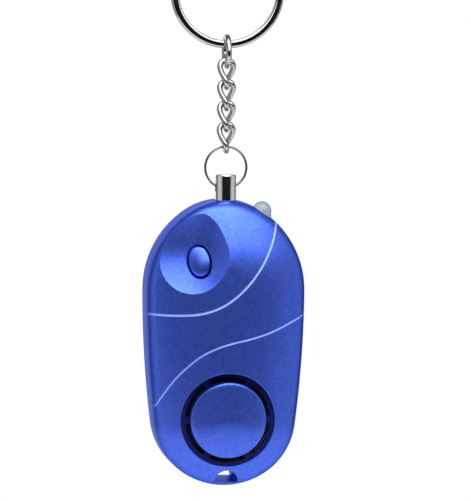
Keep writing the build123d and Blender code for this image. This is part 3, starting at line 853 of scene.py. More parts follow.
@dataclass(frozen=True)
class Pillow:
    """Front and back surfaces of the housing.

    Args:
        outline: its outline.
        front_y: depth of the crest.
        back_y: depth of the flat back.
        parting_y: depth of the seam.
        crown_radius: radius of the front across its middle.
        front_edge: radius of the front's edge.
        back_edge: radius of the back's edge.
        crest_inset: inset at which the crest is filled.
        wall: thickness of the shells.
        seam: chamfer of the two shells where they meet.
    """

    outline: Outline
    front_y: float
    back_y: float
    parting_y: float
    crown_radius: float = 40.0
    front_edge: float = 4.0
    back_edge: float = 3.0
    crest_inset: float = 17.2
    wall: float = 1.6
    seam: float = 0.25

    def seam_rings(self, inward: float, y: float, way: float) -> list[list[Vector]]:
        """Rings that a half starts with, where the outer skin has the seam's chamfer."""
        if inward:
            return [self.outline.ring(inward, y)]
        return [self.outline.ring(self.seam, y), self.outline.ring(0.0, y + way * self.seam)]

    def front(self, inward: float, rear_y: float, steps: int = 24) -> Mesh:
        """Front of the housing from a depth to the crest.

        Args:
            inward: how far its walls are moved inwards.
            rear_y: depth it starts at.
            steps: rings along each of its two arcs.

        Returns:
            The closed mesh.
        """
        half = self.outline.half_width
        turn = math.asin((half - self.front_edge) / (self.crown_radius - self.front_edge))
        crest = math.asin((half - self.crest_inset) / self.crown_radius)
        edge_y = self.front_y + self.crown_radius * (1.0 - math.cos(turn)) + self.front_edge * math.cos(turn)
        rings = self.seam_rings(inward, rear_y, -1.0)
        for step in range(steps):
            angle = math.pi / 2.0 + (turn - math.pi / 2.0) * step / steps
            inset = self.front_edge * (1.0 - math.sin(angle)) + inward * math.sin(angle)
            rings.append(self.outline.ring(inset, edge_y - (self.front_edge - inward) * math.cos(angle)))
        reach = self.crown_radius - inward
        for step in range(steps + 1):
            angle = turn + (crest - turn) * step / steps
            y = self.front_y + self.crown_radius - reach * math.cos(angle)
            rings.append(self.outline.ring(half - reach * math.sin(angle), y))
        return tower(rings)

    def back(self, inward: float, fore_y: float, steps: int = 9) -> Mesh:
        """Back of the housing from a depth to its flat face.

        Args:
            inward: how far its walls are moved inwards.
            fore_y: depth it starts at.
            steps: rings along its edge's arc.

        Returns:
            The closed mesh.
        """
        rings = self.seam_rings(inward, fore_y, 1.0)
        for step in range(steps + 1):
            angle = math.pi / 2.0 * (1.0 - step / steps)
            inset = self.back_edge * (1.0 - math.sin(angle)) + inward * math.sin(angle)
            y = self.back_y - self.back_edge + (self.back_edge - inward) * math.cos(angle)
            rings.append(self.outline.ring(inset, y))
        return tower(rings)


# Sub-assemblies

@dataclass
class Chain:
    """Key ring, connector, curb links and pin ring.

    Args:
        ring_width: width of the key ring's flat wire.
        ring_outer_round: rounding of that wire on its outer side.
        ring_inner_round: rounding on its inner side.
        seam: depth of the seam between the two coils.
        wire: radius of the links' and the connector's wire.
        pin_ring_wire: radius of the pin ring's wire.
        link_count: number of curb links.
        link_bend: radius of a link's bends at the wire's middle.
        link_twist: turn between a link's ends in degrees.
        wire_facets: sides of the solids' wire, whose corners the nodes' boxes touch.
        loop_points: points along a link or ring.
    """

    ring_width: float = 2.1
    ring_outer_round: float = 0.8
    ring_inner_round: float = 0.5
    seam: float = 0.3
    wire: float = 0.75
    pin_ring_wire: float = 0.3
    link_count: int = 4
    link_bend: float = 1.9
    link_twist: float = 90.0
    wire_facets: int = 10
    loop_points: int = 96

    def key_ring(self) -> None:
        """Two flat coils side by side, with the seam between them."""
        low, high = node_box("split_ring")
        outer, half = (high.x - low.x) / 2.0, (high.y - low.y) / 2.0
        inner = outer - self.ring_width
        cut = self.ring_outer_round
        coil = [*arc(outer - cut, half - cut, cut, 90.0, 0.0, 4), (outer, self.seam), (outer - self.seam, 0.0)]
        cut = self.ring_inner_round
        bore = arc(inner + cut, half - cut, cut, 90.0, 180.0, 4)
        section = coil + [(reach, -depth) for reach, depth in coil[-2::-1] + bore] + bore[::-1]
        mesh = spun(section, (low + high) / 2.0, REAR, 160, True)
        piece(mesh, "split_ring_smooth", "key_ring", Finishes.RING_NICKEL, "split_ring", 40.0)

    def wire_loop(self, node: str, places: Sequence[Vector], radius: float, finish: Finishes) -> None:
        """Round wire through some places, bent into a loop, for a node and the body of the same name."""
        mesh = cleaned(curve_mesh("POLY", places, radius))
        piece(mesh, f"{node}_smooth", node, finish, node, 60.0)

    def round_ring(self, node: str, radius: float, across: Vector, finish: Finishes) -> None:
        """Closed wire ring in the box of its node.

        Args:
            node: the node.
            radius: the wire's radius.
            across: level axis that the ring lies along.
            finish: the wire's finish.
        """
        low, high = node_box(node)
        centre, reach = (low + high) / 2.0, (high.z - low.z) / 2.0 - radius
        self.wire_loop(node, [
            centre + across * (reach * math.cos(turn)) + UP * (reach * math.sin(turn))
            for turn in full_turn(self.loop_points)
        ], radius, finish)

    def link_path(self, top_z: float, length: float) -> list[Vector]:
        """Middle line of one link, whose lower end is turned square to its upper end.

        Args:
            top_z: height of the line's top.
            length: height of the line.

        Returns:
            Points along it.
        """
        bend = self.link_bend
        straight, quarter = length - 2.0 * bend, bend * math.pi / 2.0
        half = math.pi * bend + straight
        places = []
        for step in range(self.loop_points):
            side, run = divmod(2.0 * half * step / self.loop_points, half)
            if run < quarter:
                reach, fall = bend * math.sin(run / bend), bend * (1.0 - math.cos(run / bend))
            elif run < quarter + straight:
                reach, fall = bend, bend + run - quarter
            else:
                angle = (run - quarter - straight) / bend
                reach, fall = bend * math.cos(angle), bend + straight + bend * math.sin(angle)
            if side:
                fall = length - fall
            else:
                reach = -reach
            turn = math.radians(self.link_twist) * (1.0 - math.cos(math.pi * fall / length)) / 2.0
            places.append(Vector((reach * math.cos(turn), reach * math.sin(turn), top_z - fall)))
        return places

    def build(self) -> None:
        """Builds the whole chain."""
        self.key_ring()
        self.round_ring("connector_ring", self.wire, REAR, Finishes.RING_NICKEL)
        reach = self.wire / math.cos(math.pi / self.wire_facets)
        for number in range(1, self.link_count + 1):
            node = f"chain_link_{number}"
            low, high = node_box(node)
            top_z = high.z - reach
            path = self.link_path(top_z, top_z - (low.z + reach))
            self.wire_loop(node, path, self.wire, Finishes.LINK_NICKEL)
        # The pin ring's nickel carries painted shade.
        self.round_ring("pin_ring", self.pin_ring_wire, RIGHT, Finishes.PIN_RING_SHADE)


@dataclass
class PullPin:
    """Chrome cap of the pull pin.

    Args:
        hole_radius: radius of the cross hole.
        hole_depth: depth of the hole's axis under the cap's top.
        top_round: rounding of the top edge.
        foot_round: rounding of the foot.
        spigot_radius: radius of the stem's end inside the cap.
        spigot_length: length of that end.
    """

    hole_radius: float = 1.0
    hole_depth: float = 3.6
    top_round: float = 0.45
    foot_round: float = 0.25
    spigot_radius: float = 1.2
    spigot_length: float = 1.6

    def build(self) -> None:
        """Turned cap with its cross hole and the stem's blind hole."""
        low, high = node_box("pull_pin_cap")
        centre, radius, tall = foot_middle(low, high), (high.x - low.x) / 2.0, high.z - low.z
        foot, top = self.foot_round, self.top_round
        cap = spun([
            (0.0, self.spigot_length), (self.spigot_radius, self.spigot_length), (self.spigot_radius, 0.0),
            *arc(radius - foot, foot, foot, -90.0, 0.0, 6), *arc(radius - top, tall - top, top, 0.0, 90.0, 6),
            (0.0, tall),
        ], centre, UP, 120)
        hole = bmesh.new()
        spot = Matrix.Translation(centre + UP * (tall - self.hole_depth))
        bmesh.ops.create_cone(
            hole, cap_ends=True, segments=64, radius1=self.hole_radius, radius2=self.hole_radius,
            depth=3.0 * radius, matrix=spot @ Matrix.Rotation(math.pi / 2.0, 4, "Y"),
        )
        cap = combine(cap, "DIFFERENCE", [hole])
        piece(cap, "pull_pin_cap_turned", "pull_pin", Finishes.PIN_CHROME, "pull_pin_cap", 35.0)


@dataclass
class Lamp:
    """Round resin lamp in the housing's shoulder.

    Args:
        flange: width of the flange past the lamp's body.
        flange_height: height of the flange.
    """

    flange: float = 0.4
    flange_height: float = 1.0

    def build(self) -> None:
        """Turned resin body with its dome up."""
        low, high = node_box("led_lamp")
        wide, tall = (high.x - low.x) / 2.0, high.z - low.z
        radius = wide - self.flange
        lamp = spun([
            (0.0, 0.0), (wide, 0.0), (wide, self.flange_height), (radius, self.flange_height),
            *arc(0.0, tall - radius, radius, 0.0, 90.0, 18),
        ], foot_middle(low, high), UP, 96)
        piece(lamp, "lamp_resin", "housing", Finishes.LAMP_RESIN, "led_lamp", 35.0)


@dataclass
class Housing:
    """Front and back shells, the sounder disc and the light button.

    Args:
        surfaces: the housing's surfaces.
        scoop_centre: centre of the thumb scoop's ball.
        button_spot: middle of the light button in front view.
        sounder_z: height of the sounder's middle.
        screw_spots: middles of the case screws in front view.
        scoop_radius: radius of the scoop's ball.
        scoop_lean: how far the ball's upper half is drawn out, one reach over its centre.
        scoop_reach: that distance.
        button_half: half width and half height of the button's oval.
        button_side_radius: radius of the oval's long sides.
        button_gap: gap round the button.
        button_hole_round: rounding of the edge of its hole.
        button_tilt: tilt of the oval in degrees.
        button_rise: how far the button's dome stands over the scoop.
        button_dome: radius of that dome.
        button_rings: inset and sink of the rings of the button's face.
        flange: width and thickness of the button's flange.
        button_post: radius of the button's post.
        post_length: length of the post from the flange's front.
        disc_radius: radius of the sounder's disc.
        disc_rise: how far the disc stands over the shell.
        disc_rim: inset and drop of the rings of its softened rim.
        disc_shares: shares of its radius at which its inner rings lie.
        groove_radius: outer radius of the groove round the disc.
        groove_depth: depth of the groove under the crest.
        rim_round: rounding of the groove's edge.
        floor_thickness: thickness of the groove's floor.
        cup_wall: wall of the sounder's cup.
        cup_depth: how far the cup reaches past the floor.
        slot_count: number of slots in the groove's floor.
        slot_gap: gap between the disc and the slots.
        slot_width: width of a slot.
        slot_facets: facets along a slot.
        rib_degrees: width of the ribs between the slots, in degrees.
        eye_half: half width of the lanyard eye.
        eye_height: its height.
        eye_foot: height of its flat foot over the housing's.
        eye_wall: wall round it.
        eye_facets: facets of its arc.
        line_radius: radius of the round bar that cuts the upper styling line.
        lower_line: radius of the lower line's bar as a share of the upper one's.
        line_depth: depth of the lines.
        line_facets: facets round the bar, and steps between two of its points.
        line_margin: how far off the bar a face may lie that gets the line's painted highlight.
        upper_line_share: the upper line as shares of the half width and the height.
        lower_line_share: the lower line.
        pin_hole_radius: radius of the pull pin's hole.
        pin_seat_radius: radius of the seat of the pin's cap.
        pin_seat_depth: depth of that seat.
        flange_radius: radius of the recess for the socket's flange.
        flange_height: height of that recess.
        lamp_spot: right and rear place of the lamp's axis.
        lamp_hole_radius: radius of the lamp's hole.
        lamp_hole_depth: depth of that hole under the top.
        screw_post: radius of the posts round the case screws.
        screw_recess: radius of the recess of a screw's head.
        screw_hole: radius of a screw's hole.
        screw_seat: depth of the recess.
        past: how far cutters run past a surface.
        short_past: how far slots and screw holes do.
        overlap: how far neighbouring cuts run into each other.
        hair: small distance that keeps two surfaces from falling together.
        line_places: points along the lines with their bars' radii, noted while they are cut.
    """

    surfaces: Pillow
    scoop_centre: Vector
    button_spot: Vector
    sounder_z: float
    screw_spots: list[Pair]
    scoop_radius: float = 25.0
    scoop_lean: Vector = field(default_factory=lambda: Vector((2.4, 2.8, 7.0)))
    scoop_reach: float = 9.0
    button_half: Pair = (2.7, 4.0)
    button_side_radius: float = 6.0
    button_gap: float = 0.45
    button_hole_round: float = 0.25
    button_tilt: float = 6.0
    button_rise: float = 0.7
    button_dome: float = 10.0
    button_rings: tuple[Pair, ...] = (
        (0.0, 0.34), (0.06, 0.17), (0.18, 0.05), (0.34, 0.0), (0.8, 0.0), (1.4, 0.0), (1.9, 0.0), (2.2, 0.0),
    )
    flange: Pair = (0.7, 0.6)
    button_post: float = 1.2
    post_length: float = 1.4
    disc_radius: float = 10.0
    disc_rise: float = 0.4
    disc_rim: tuple[Pair, ...] = ((0.0, 0.5), (0.04, 0.225), (0.18, 0.12), (0.5, 0.0))
    disc_shares: tuple[float, ...] = (0.86, 0.72, 0.58, 0.44, 0.3, 0.16, 0.06)
    groove_radius: float = 12.35
    groove_depth: float = 3.2
    rim_round: float = 0.35
    floor_thickness: float = 1.4
    cup_wall: float = 1.25
    cup_depth: float = 2.0
    slot_count: int = 6
    slot_gap: float = 0.15
    slot_width: float = 1.05
    slot_facets: int = 16
    rib_degrees: float = 10.0
    eye_half: float = 3.05
    eye_height: float = 3.3
    eye_foot: float = 1.1
    eye_wall: float = 1.0
    eye_facets: int = 40
    line_radius: float = 0.31
    lower_line: float = 0.8
    line_depth: float = 0.28
    line_facets: int = 12
    line_margin: float = 0.04
    upper_line_share: tuple[Pair, ...] = (
        (-1.02, 0.392), (-0.57, 0.398), (-0.19, 0.379), (0.113, 0.327), (0.393, 0.237), (0.58, 0.132),
        (0.62, 0.07),
    )
    lower_line_share: tuple[Pair, ...] = (
        (-0.97, 0.75), (-0.76, 0.641), (-0.43, 0.547), (-0.19, 0.509), (0.06, 0.488), (0.28, 0.476),
        (0.62, 0.448), (1.02, 0.392),
    )
    pin_hole_radius: float = 1.85
    pin_seat_radius: float = 2.95
    pin_seat_depth: float = 0.22
    flange_radius: float = 4.1
    flange_height: float = 1.0
    lamp_spot: Pair = (9.5, -1.0)
    lamp_hole_radius: float = 2.65
    lamp_hole_depth: float = 8.9
    screw_post: float = 3.0
    screw_recess: float = 2.25
    screw_hole: float = 1.15
    screw_seat: float = 2.8
    past: float = 2.0
    short_past: float = 0.5
    overlap: float = 0.05
    hair: float = 0.02
    line_places: list[tuple[list[Vector], float]] = field(default_factory=list)

    def oval(self, grow: float, y: float, count: int = 96) -> list[Vector]:
        """Points of the button's oval, four tangent arcs, at a depth.

        Args:
            grow: how far the oval is moved outwards.
            y: the depth.
            count: number of points.

        Returns:
            The points.
        """
        half, tall = self.button_half
        side = self.button_side_radius
        end = (half * half + tall * tall - 2.0 * half * side) / (2.0 * (tall - side))
        join = math.atan2(tall - end, side - half)
        tilt = math.radians(self.button_tilt)
        places = []
        for turn in full_turn(count):
            flat = math.atan2(abs(math.sin(turn)), abs(math.cos(turn)))
            if flat < join:
                x, z = half - side + (side + grow) * math.cos(flat), (side + grow) * math.sin(flat)
            else:
                x, z = (end + grow) * math.cos(flat), tall - end + (end + grow) * math.sin(flat)
            x, z = x * math.copysign(1.0, math.cos(turn)), z * math.copysign(1.0, math.sin(turn))
            places.append(Vector((
                self.button_spot.x + x * math.cos(tilt) - z * math.sin(tilt), y,
                self.button_spot.z + x * math.sin(tilt) + z * math.cos(tilt),
            )))
        return places

    def eye(self, grow: float, rear_y: float, fore_y: float) -> Mesh:
        """Half-moon prism of the lanyard eye.

        Args:
            grow: how far its sides are moved outwards.
            rear_y: depth of one end.
            fore_y: depth of the other.

        Returns:
            The prism.
        """
        foot = self.surfaces.outline.top_z - self.surfaces.outline.height + self.eye_foot - grow
        half, tall = self.eye_half + grow, self.eye_height + 2.0 * grow
        radius = (half * half + tall * tall) / (2.0 * tall)
        spread = math.asin(min(1.0, half / radius))
        if tall > half:
            spread = math.pi - spread
        turns = [spread - 2.0 * spread * step / self.eye_facets for step in range(self.eye_facets + 1)]
        return tower([
            [Vector((radius * math.sin(turn), y, foot + tall - radius + radius * math.cos(turn))) for turn in turns]
            for y in (rear_y, fore_y)
        ])

    def top_holes(self) -> list[Mesh]:
        """Cutters for the pull pin, its cap's seat, the socket's flange and the lamp."""
        top = self.surfaces.outline.top_z
        flange_z = top - self.pin_seat_depth - self.surfaces.wall
        return [
            post(self.pin_hole_radius, 0.0, 0.0, flange_z - self.past, top + self.past),
            post(self.pin_seat_radius, 0.0, 0.0, top - self.pin_seat_depth, top + self.past),
            post(self.flange_radius, 0.0, 0.0, flange_z - self.flange_height, flange_z),
            post(self.lamp_hole_radius, *self.lamp_spot, top - self.lamp_hole_depth, top + self.past),
        ]

    def scoop(self, grow: float, across: int) -> Mesh:
        """The thumb scoop's drawn-out ball, grown by an amount and with some facets across."""
        return ball(self.scoop_radius + grow, self.scoop_centre, across, self.scoop_lean, self.scoop_reach)

    def rim(
        self, loop: Callable[[float], list[Vector]], surface: Callable[[Vector], float], floor_y: float, soft: float,
    ) -> Mesh:
        """Cutter of a pocket whose edge is rounded along the surface it is cut into.

        Args:
            loop: the pocket's outline, grown by an amount.
            surface: depth of the surface at a point.
            floor_y: depth of the pocket's floor.
            soft: radius of the rounding.

        Returns:
            The cutter.
        """
        rings = [
            draped(loop(soft - inside), lambda place: surface(place) - self.hair + soft - over)
            for over, inside in arc(0.0, 0.0, soft, 0.0, 90.0, 5)
        ]
        ahead = draped(rings[0], lambda place: self.surfaces.front_y - self.past)
        return tower([ahead, *rings, draped(loop(0.0), lambda place: floor_y)])

    def groove(self, skin: Any, shares: Sequence[Pair], radius: float) -> Mesh:
        """Cutter of a styling line, a thin round bar that follows the surface.

        Args:
            skin: the housing's front as a tree that rays can hit.
            shares: the line as shares of the half width and the height.
            radius: radius of the bar.

        Returns:
            The cutter.
        """
        outline = self.surfaces.outline
        route = curve_mesh("NURBS", [
            (right * outline.half_width, 0.0, outline.top_z - down * outline.height) for right, down in shares
        ])
        places = []
        for vert in route.verts:
            hit, normal, _, _ = skin.ray_cast(Vector((vert.co.x, AHEAD_Y, vert.co.z)), REAR)
            if hit:
                places.append(hit + normal * (radius - self.line_depth))
        route.free()
        count = self.line_facets
        pairs = zip(places, places[1:])
        self.line_places.append(([a.lerp(b, step / count) for a, b in pairs for step in range(count)], radius))
        rings = []
        for number, place in enumerate(places):
            ahead = places[min(number + 1, len(places) - 1)] - places[max(number - 1, 0)]
            side = ahead.cross(REAR).normalized()
            up = side.cross(ahead).normalized()
            rings.append([
                place + (side * math.cos(turn) + up * math.sin(turn)) * radius for turn in full_turn(count)
            ])
        return tower(rings)

    def front_shell(self) -> None:
        """Front shell with scoop, button hole, sounder groove, slots, eye and styling lines."""
        shape = self.surfaces
        outer = shape.front(0.0, shape.parting_y)
        skin = BVHTree.FromBMesh(outer)
        floor_y = shape.front_y + self.groove_depth
        seat_y = floor_y + self.floor_thickness
        ahead = shape.front_y - self.past
        cavity = combine(shape.front(shape.wall, shape.parting_y + self.past, 5), "DIFFERENCE", [
            self.scoop(shape.wall, 96),
            bar(self.groove_radius + self.cup_wall, 0.0, self.sounder_z, seat_y + self.cup_depth, ahead),
            self.eye(self.eye_wall, shape.parting_y + 2.0 * self.past, ahead),
        ])
        grooves = [
            self.groove(skin, self.upper_line_share, self.line_radius),
            self.groove(skin, self.lower_line_share, self.lower_line * self.line_radius),
        ]
        scoop = self.scoop(0.0, 200)
        bowl = BVHTree.FromBMesh(scoop)
        pocket = self.flange[0] + self.button_gap
        shell = combine(outer, "DIFFERENCE", [
            cavity, *grooves, scoop,
            self.rim(
                lambda grow: self.oval(self.button_gap + grow, 0.0),
                lambda place: ray_depth(bowl, place, self.scoop_centre.y),
                shape.parting_y, self.button_hole_round,
            ),
            tower([self.oval(pocket, y) for y in (shape.parting_y, self.button_flange_y() - self.overlap)]),
            self.rim(
                lambda grow: circle_ring(self.groove_radius + grow, 0.0, 0.0, self.sounder_z, 160),
                lambda place: ray_depth(skin, place),
                floor_y, self.rim_round,
            ),
            bar(self.groove_radius + self.overlap, 0.0, self.sounder_z, shape.parting_y, seat_y, 160),
            self.eye(0.0, shape.parting_y + self.past, ahead),
            *self.top_holes(), *self.slots(floor_y, seat_y),
        ])
        made = piece(shell, "front_shell_moulded", "housing", Finishes.BLUE_PAINT, "front_shell", 15.0)
        # Extra slots: the groove's painted shade, the styling lines' painted highlight and the groove floor's painted
        # shade.
        for finish in (Finishes.GROOVE_WALL_SHADE, Finishes.LINE_HIGHLIGHT, Finishes.GROOVE_FLOOR_SHADE):
            made.data.materials.append(finish.value.material())
        self.paint_groove_shade(made, floor_y)
        self.paint_line_highlights(made)

    def paint_groove_shade(self, made: bpy.types.Object, floor_y: float) -> None:
        """Gives the groove's walls and floor their painted shade: darker blue paint for the shade inside the groove,
        darkest on the floor.

        Args:
            made: the front shell.
            floor_y: depth of the groove's floor.
        """
        wall, floor = 1, 3
        for face in made.data.polygons:
            spot = face.center / MM
            reach = math.hypot(spot.x, spot.z - self.sounder_z)
            deep = self.surfaces.front_y < spot.y < floor_y + self.floor_thickness
            if reach < self.groove_radius + self.hair and deep:
                face.material_index = floor if spot.y > floor_y - self.hair else wall

    def paint_line_highlights(self, made: bpy.types.Object) -> None:
        """Gives the styling lines' small faces their painted highlight, a lighter blue paint for the light their lips
        catch.

        Args:
            made: the front shell.
        """
        for places, radius in self.line_places:
            tree = KDTree(len(places))
            for number, place in enumerate(places):
                tree.insert(place, number)
            tree.balance()
            for face in made.data.polygons:
                corners = [made.data.vertices[number].co / MM for number in face.vertices]
                if all(tree.find(corner)[2] < radius + self.line_margin for corner in corners):
                    # Slot 2 is the lines' painted highlight.
                    face.material_index = 2

    def slots(self, floor_y: float, seat_y: float) -> list[Mesh]:
        """Cutters of the arc slots in the groove's floor.

        Args:
            floor_y: depth of the floor's front.
            seat_y: depth of its rear.

        Returns:
            The cutters.
        """
        cutters = []
        middle = self.disc_radius + self.slot_gap + self.slot_width / 2.0
        fore, rear = REAR * (floor_y - self.short_past), REAR * (seat_y + self.short_past)
        for number in range(self.slot_count):
            start = math.radians(360.0 * number / self.slot_count + self.rib_degrees / 2.0)
            sweep = math.radians(360.0 / self.slot_count - self.rib_degrees)
            rings = []
            for step in range(self.slot_facets + 1):
                turn = start + sweep * step / self.slot_facets
                out = Vector((math.cos(turn), 0.0, math.sin(turn)))
                spot, half = UP * self.sounder_z + out * middle, out * self.slot_width / 2.0
                rings.append([spot - half + fore, spot + half + fore, spot + half + rear, spot - half + rear])
            cutters.append(tower(rings))
        return cutters

    def button_flange_y(self) -> float:
        """Depth of the front of the button's flange."""
        return node_box("light_button")[1].y - self.post_length

    def sounder_disc(self) -> None:
        """Raised disc that follows the housing's crown, with a softened rim."""
        shape, radius = self.surfaces, self.disc_radius
        outer = shape.front(0.0, shape.parting_y)
        skin = BVHTree.FromBMesh(outer)
        outer.free()
        rings = [circle_ring(radius, 0.0, shape.front_y + self.groove_depth, self.sounder_z, 128)]
        steps = [(radius - inset, drop) for inset, drop in self.disc_rim]
        for reach, drop in steps + [(radius * share, 0.0) for share in self.disc_shares]:
            circle = circle_ring(reach, 0.0, 0.0, self.sounder_z, 128)
            rings.append(draped(circle, lambda place: ray_depth(skin, place) - self.disc_rise + drop))
        piece(tower(rings), "sounder_disc", "housing", Finishes.BLUE_PAINT, "front_shell")

    def button(self) -> None:
        """Oval button with its domed face, flange and post."""
        spot = Vector((self.button_spot.x, 0.0, self.button_spot.z))
        fall = math.hypot(spot.x - self.scoop_centre.x, spot.z - self.scoop_centre.z)
        surface = Vector((spot.x, self.scoop_centre.y + math.sqrt(self.scoop_radius ** 2 - fall ** 2), spot.z))
        outward = (self.scoop_centre - surface).normalized()
        centre = surface - outward * (self.button_dome - self.button_rise)
        flange_y, (wide, thick) = self.button_flange_y(), self.flange
        rings = [self.oval(wide, flange_y + thick), self.oval(wide, flange_y), self.oval(0.0, flange_y)]
        for inset, sink in self.button_rings:
            ring = self.oval(-inset, 0.0)
            for place in ring:
                across = math.hypot(place.x - centre.x, place.z - centre.z)
                place.y = centre.y - math.sqrt(self.button_dome ** 2 - across ** 2) + sink
            rings.append(ring)
        stem = bar(self.button_post, spot.x, spot.z, node_box("light_button")[1].y, flange_y + thick / 2.0, 48)
        mesh = combine(tower(rings), "UNION", [stem])
        piece(mesh, "light_button_domed", "light_button", Finishes.BUTTON_LIT_PAINT, "light_button")

    def back_shell(self) -> None:
        """Back shell with its screw recesses, the eye and the top holes."""
        shape = self.surfaces
        fore_y, rear_y = shape.parting_y + self.overlap, shape.back_y + self.past
        seat_y, ahead = shape.back_y - self.screw_seat, fore_y - 2.0 * self.past
        cavity = combine(shape.back(shape.wall, fore_y - self.past, 5), "DIFFERENCE", [
            *(bar(self.screw_post, x, z, rear_y, ahead, 48) for x, z in self.screw_spots),
            self.eye(self.eye_wall, rear_y, ahead),
        ])
        cuts = [self.eye(0.0, rear_y, fore_y - self.past), *self.top_holes()]
        for x, z in self.screw_spots:
            cuts.append(bar(self.screw_recess, x, z, rear_y, seat_y, 64))
            cuts.append(bar(self.screw_hole, x, z, seat_y + self.short_past, fore_y - self.past, 48))
        shell = combine(shape.back(0.0, fore_y), "DIFFERENCE", [cavity, *cuts])
        piece(shell, "back_shell_moulded", "housing", Finishes.BLUE_PAINT, "back_shell")

    def build(self) -> None:
        """Builds the housing's pieces."""
        self.front_shell()
        self.sounder_disc()
        self.back_shell()
        self.button()


# Studio

def ray_shares(board: Board) -> tuple[Value, Any]:
    """Shares of the rays that show the background.

    Args:
        board: the board of a material or the world.

    Returns:
        The share of rays straight from the camera or through glass, and of those off metal.
    """
    ray = board.node("ShaderNodeLightPath")
    seen = board.math("MAXIMUM", ray.outputs["Is Camera Ray"], ray.outputs["Is Transmission Ray"])
    return seen, ray.outputs["Is Glossy Ray"]


@dataclass(frozen=True)
class Studio:
    """Floor, lamps, world and camera.

    Args:
        azimuth: camera's turn round the object in degrees.
        elevation: camera's height in degrees.
        roll: camera's roll in degrees.
        scale: millimetres for one pixel of the photograph.
        aim: point that lies in the picture's middle, in millimetres right of and above the origin.
        distance: camera's distance in millimetres.
        middle: point that the lamps face.
        floor_drop: height of the object over the floor.
        floor_reach: half width of the floor.
        floor_glow: how far the floor shines towards the camera and metal.
        room_grey: colour of the room that lights the object.
        room_light: its strength.
        mirror_stops: what metal shows, from the front of the room to its back.
    """

    azimuth: float = -9.0
    elevation: float = 5.0
    roll: float = 0.5
    scale: float = 0.2622
    aim: Pair = (2.73, -80.83)
    distance: float = 1100.0
    middle: Triple = (0.0, 0.0, -100.0)
    floor_drop: float = 120.0
    floor_reach: float = 400.0
    floor_glow: float = 0.38
    room_grey: Triple = (0.72, 0.73, 0.75)
    room_light: float = 0.30
    mirror_stops: tuple[tuple[float, Triple], ...] = (
        (0.0, (0.006, 0.006, 0.007)), (0.145, (0.010, 0.010, 0.011)), (0.175, (0.42, 0.43, 0.44)),
        (0.40, (0.66, 0.67, 0.68)), (0.56, (0.50, 0.50, 0.51)), (0.70, (0.12, 0.12, 0.13)),
        (0.84, (0.16, 0.16, 0.17)), (0.92, (1.0, 1.0, 1.0)),
    )

    def camera(self) -> None:
        """Camera at the photograph's angle and scale."""
        turn, lift = math.radians(self.azimuth), math.radians(self.elevation)
        back = Vector((math.sin(turn) * math.cos(lift), -math.cos(turn) * math.cos(lift), math.sin(lift)))
        right = Vector((math.cos(turn), math.sin(turn), 0.0))
        target = right * self.aim[0] + UP * self.aim[1]
        data = bpy.data.cameras.new("photo_view")
        data.lens = data.sensor_width * self.distance / (PHOTO_LONG_SIDE * self.scale)
        data.clip_start, data.clip_end = 0.01, 20.0
        made = linked("photo_view", data)
        made.location = (target + back * self.distance) * MM
        made.rotation_mode = "QUATERNION"
        facing = (-back).to_track_quat("-Z", "Y")
        made.rotation_quaternion = facing @ Matrix.Rotation(math.radians(self.roll), 4, "Z").to_quaternion()
        bpy.context.scene.camera = made

    def lamp(
        self, name: str, place: Sequence[float], aim: Sequence[float], size: Sequence[float], watts: float,
        mirrored: bool = False,
    ) -> None:
        """Soft rectangular lamp.

        Args:
            name: the lamp's name.
            place: where it stands, in millimetres.
            aim: where it points.
            size: its width and height.
            watts: its power.
            mirrored: whether bright metal shows it.
        """
        data = bpy.data.lights.new(name, "AREA")
        data.shape, data.energy = "RECTANGLE", watts
        data.size, data.size_y = size[0] * MM, size[1] * MM
        made = linked(name, data)
        made.location = Vector(place) * MM
        made.visible_glossy = mirrored
        made.rotation_mode = "QUATERNION"
        made.rotation_quaternion = (Vector(aim) - Vector(place)).to_track_quat("-Z", "Y")

    def floor(self) -> None:
        """Pale floor well under the object."""
        mesh = bmesh.new()
        bmesh.ops.create_grid(mesh, x_segments=1, y_segments=1, size=self.floor_reach)
        bmesh.ops.translate(mesh, verts=mesh.verts, vec=UP * (CAD_BOX[0].z / MM - self.floor_drop))
        bmesh.ops.scale(mesh, vec=(MM, MM, MM), verts=mesh.verts)
        data = stored(mesh, "studio_floor")
        surface = bpy.data.materials.new("studio_white")
        surface.use_nodes = True
        board = Board(surface.node_tree)
        shown = board.math("MAXIMUM", *ray_shares(board)) * self.floor_glow
        matt = board.node("ShaderNodeBsdfDiffuse", Color=(0.9, 0.9, 0.9, 1.0))
        glow = board.node("ShaderNodeEmission", Color=(1.0, 1.0, 1.0, 1.0), Strength=shown)
        both = board.node("ShaderNodeAddShader", inputs=(matt.outputs[0], glow.outputs[0]))
        board.node("ShaderNodeOutputMaterial", Surface=both.outputs[0])
        data.materials.append(surface)
        linked("studio_floor", data)

    def world(self) -> None:
        """White background, with a dimmer room for the light and for reflections."""
        world = bpy.data.worlds.new("studio")
        bpy.context.scene.world = world
        world.use_nodes = True
        board = Board(world.node_tree)
        seen, glossy = ray_shares(board)
        towards = board.node("ShaderNodeSeparateXYZ", Vector=board.node("ShaderNodeTexCoord").outputs["Generated"])
        front = board.ramp(Value(board, towards.outputs["Y"]) * 0.5 + 0.5, self.mirror_stops)
        room, mirror, white = (
            board.node("ShaderNodeBackground", Color=colour, Strength=strength)
            for colour, strength in (((*self.room_grey, 1.0), self.room_light), (front, 1.0), ((1.0,) * 4, 1.0))
        )
        shown = board.mix(seen, board.mix(glossy, room, mirror), white)
        board.node("ShaderNodeOutputWorld", Surface=shown.outputs[0])

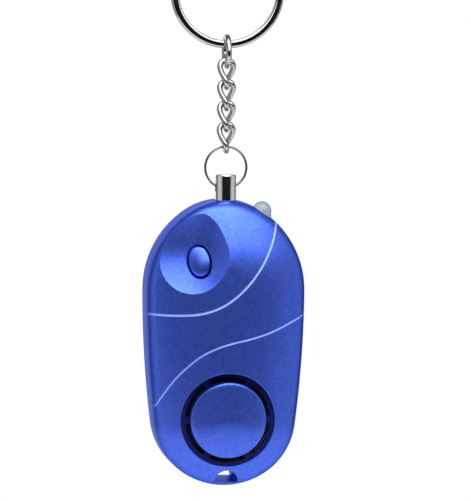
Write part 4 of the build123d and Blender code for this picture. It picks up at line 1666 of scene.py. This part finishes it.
    def build(self) -> None:
        """Sets the stage."""
        bpy.context.scene.view_settings.view_transform = "Standard"
        self.lamp("left_soft", (-420.0, -260.0, 40.0), self.middle, (160.0, 520.0), 0.50)
        self.lamp("right_soft", (420.0, -260.0, 0.0), self.middle, (160.0, 520.0), 0.45)
        self.lamp("top_soft", (-60.0, -200.0, 420.0), self.middle, (500.0, 300.0), 1.8, True)
        self.lamp("brow_soft", (50.0, -230.0, 90.0), (10.0, 0.0, -80.0), (380.0, 200.0), 0.72, True)
        self.lamp("front_soft", (-250.0, -620.0, -40.0), self.middle, (260.0, 400.0), 0.30)
        self.floor()
        self.world()
        self.camera()


def dress_nodes(record: dict[str, Any]) -> None:
    """Gives every shown node its finish by slot.

    Args:
        record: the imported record.
    """
    for entry in record["subparts"]:
        node = frame["nodes"][entry["node"]]
        node.data.materials.clear()
        node.data.materials.append(CAD_FINISHES[entry["material_slot"]].value.material())


def housing_from_frame(
    scoop_right: float = -15.0, scoop_drop: float = 10.5, scoop_depth: float = 5.75, screw_head: float = 2.1,
) -> Housing:
    """Housing whose places come from the frame's boxes.

    Args:
        scoop_right: place of the scoop's centre to the right of the middle.
        scoop_drop: its height under the housing's top.
        scoop_depth: depth of the scoop behind the crest.
        screw_head: radius of a case screw's head.

    Returns:
        The housing.
    """
    front_low, front_high = node_box("front_shell")
    rear_y, top = node_box("back_shell")[1].y, front_high.z
    switch_low, switch_high = node_box("tact_switch_body")
    disc_low, disc_high = node_box("sounder_diaphragm")
    screw_low, screw_high = node_box("case_screws")
    outline = Outline(half_width=front_high.x, height=top - front_low.z, top_z=top)
    return Housing(
        surfaces=Pillow(outline, -rear_y, rear_y, front_high.y),
        scoop_centre=Vector((scoop_right, scoop_depth - rear_y - Housing.scoop_radius, top - scoop_drop)),
        button_spot=(switch_low + switch_high) / 2.0,
        sounder_z=(disc_low.z + disc_high.z) / 2.0,
        screw_spots=[
            (x, z) for x in (screw_low.x + screw_head, screw_high.x - screw_head)
            for z in (screw_low.z + screw_head, screw_high.z - screw_head)
        ],
    )


def main() -> None:
    """Dresses the nodes, builds the smooth pieces and sets the stage."""
    logging.basicConfig(level=logging.INFO, format="%(name)s: %(message)s")
    dress_nodes(frame["record"])
    Chain().build()
    PullPin().build()
    Lamp().build()
    housing_from_frame().build()
    Studio().build()


if __name__ == "__main__":
    main()
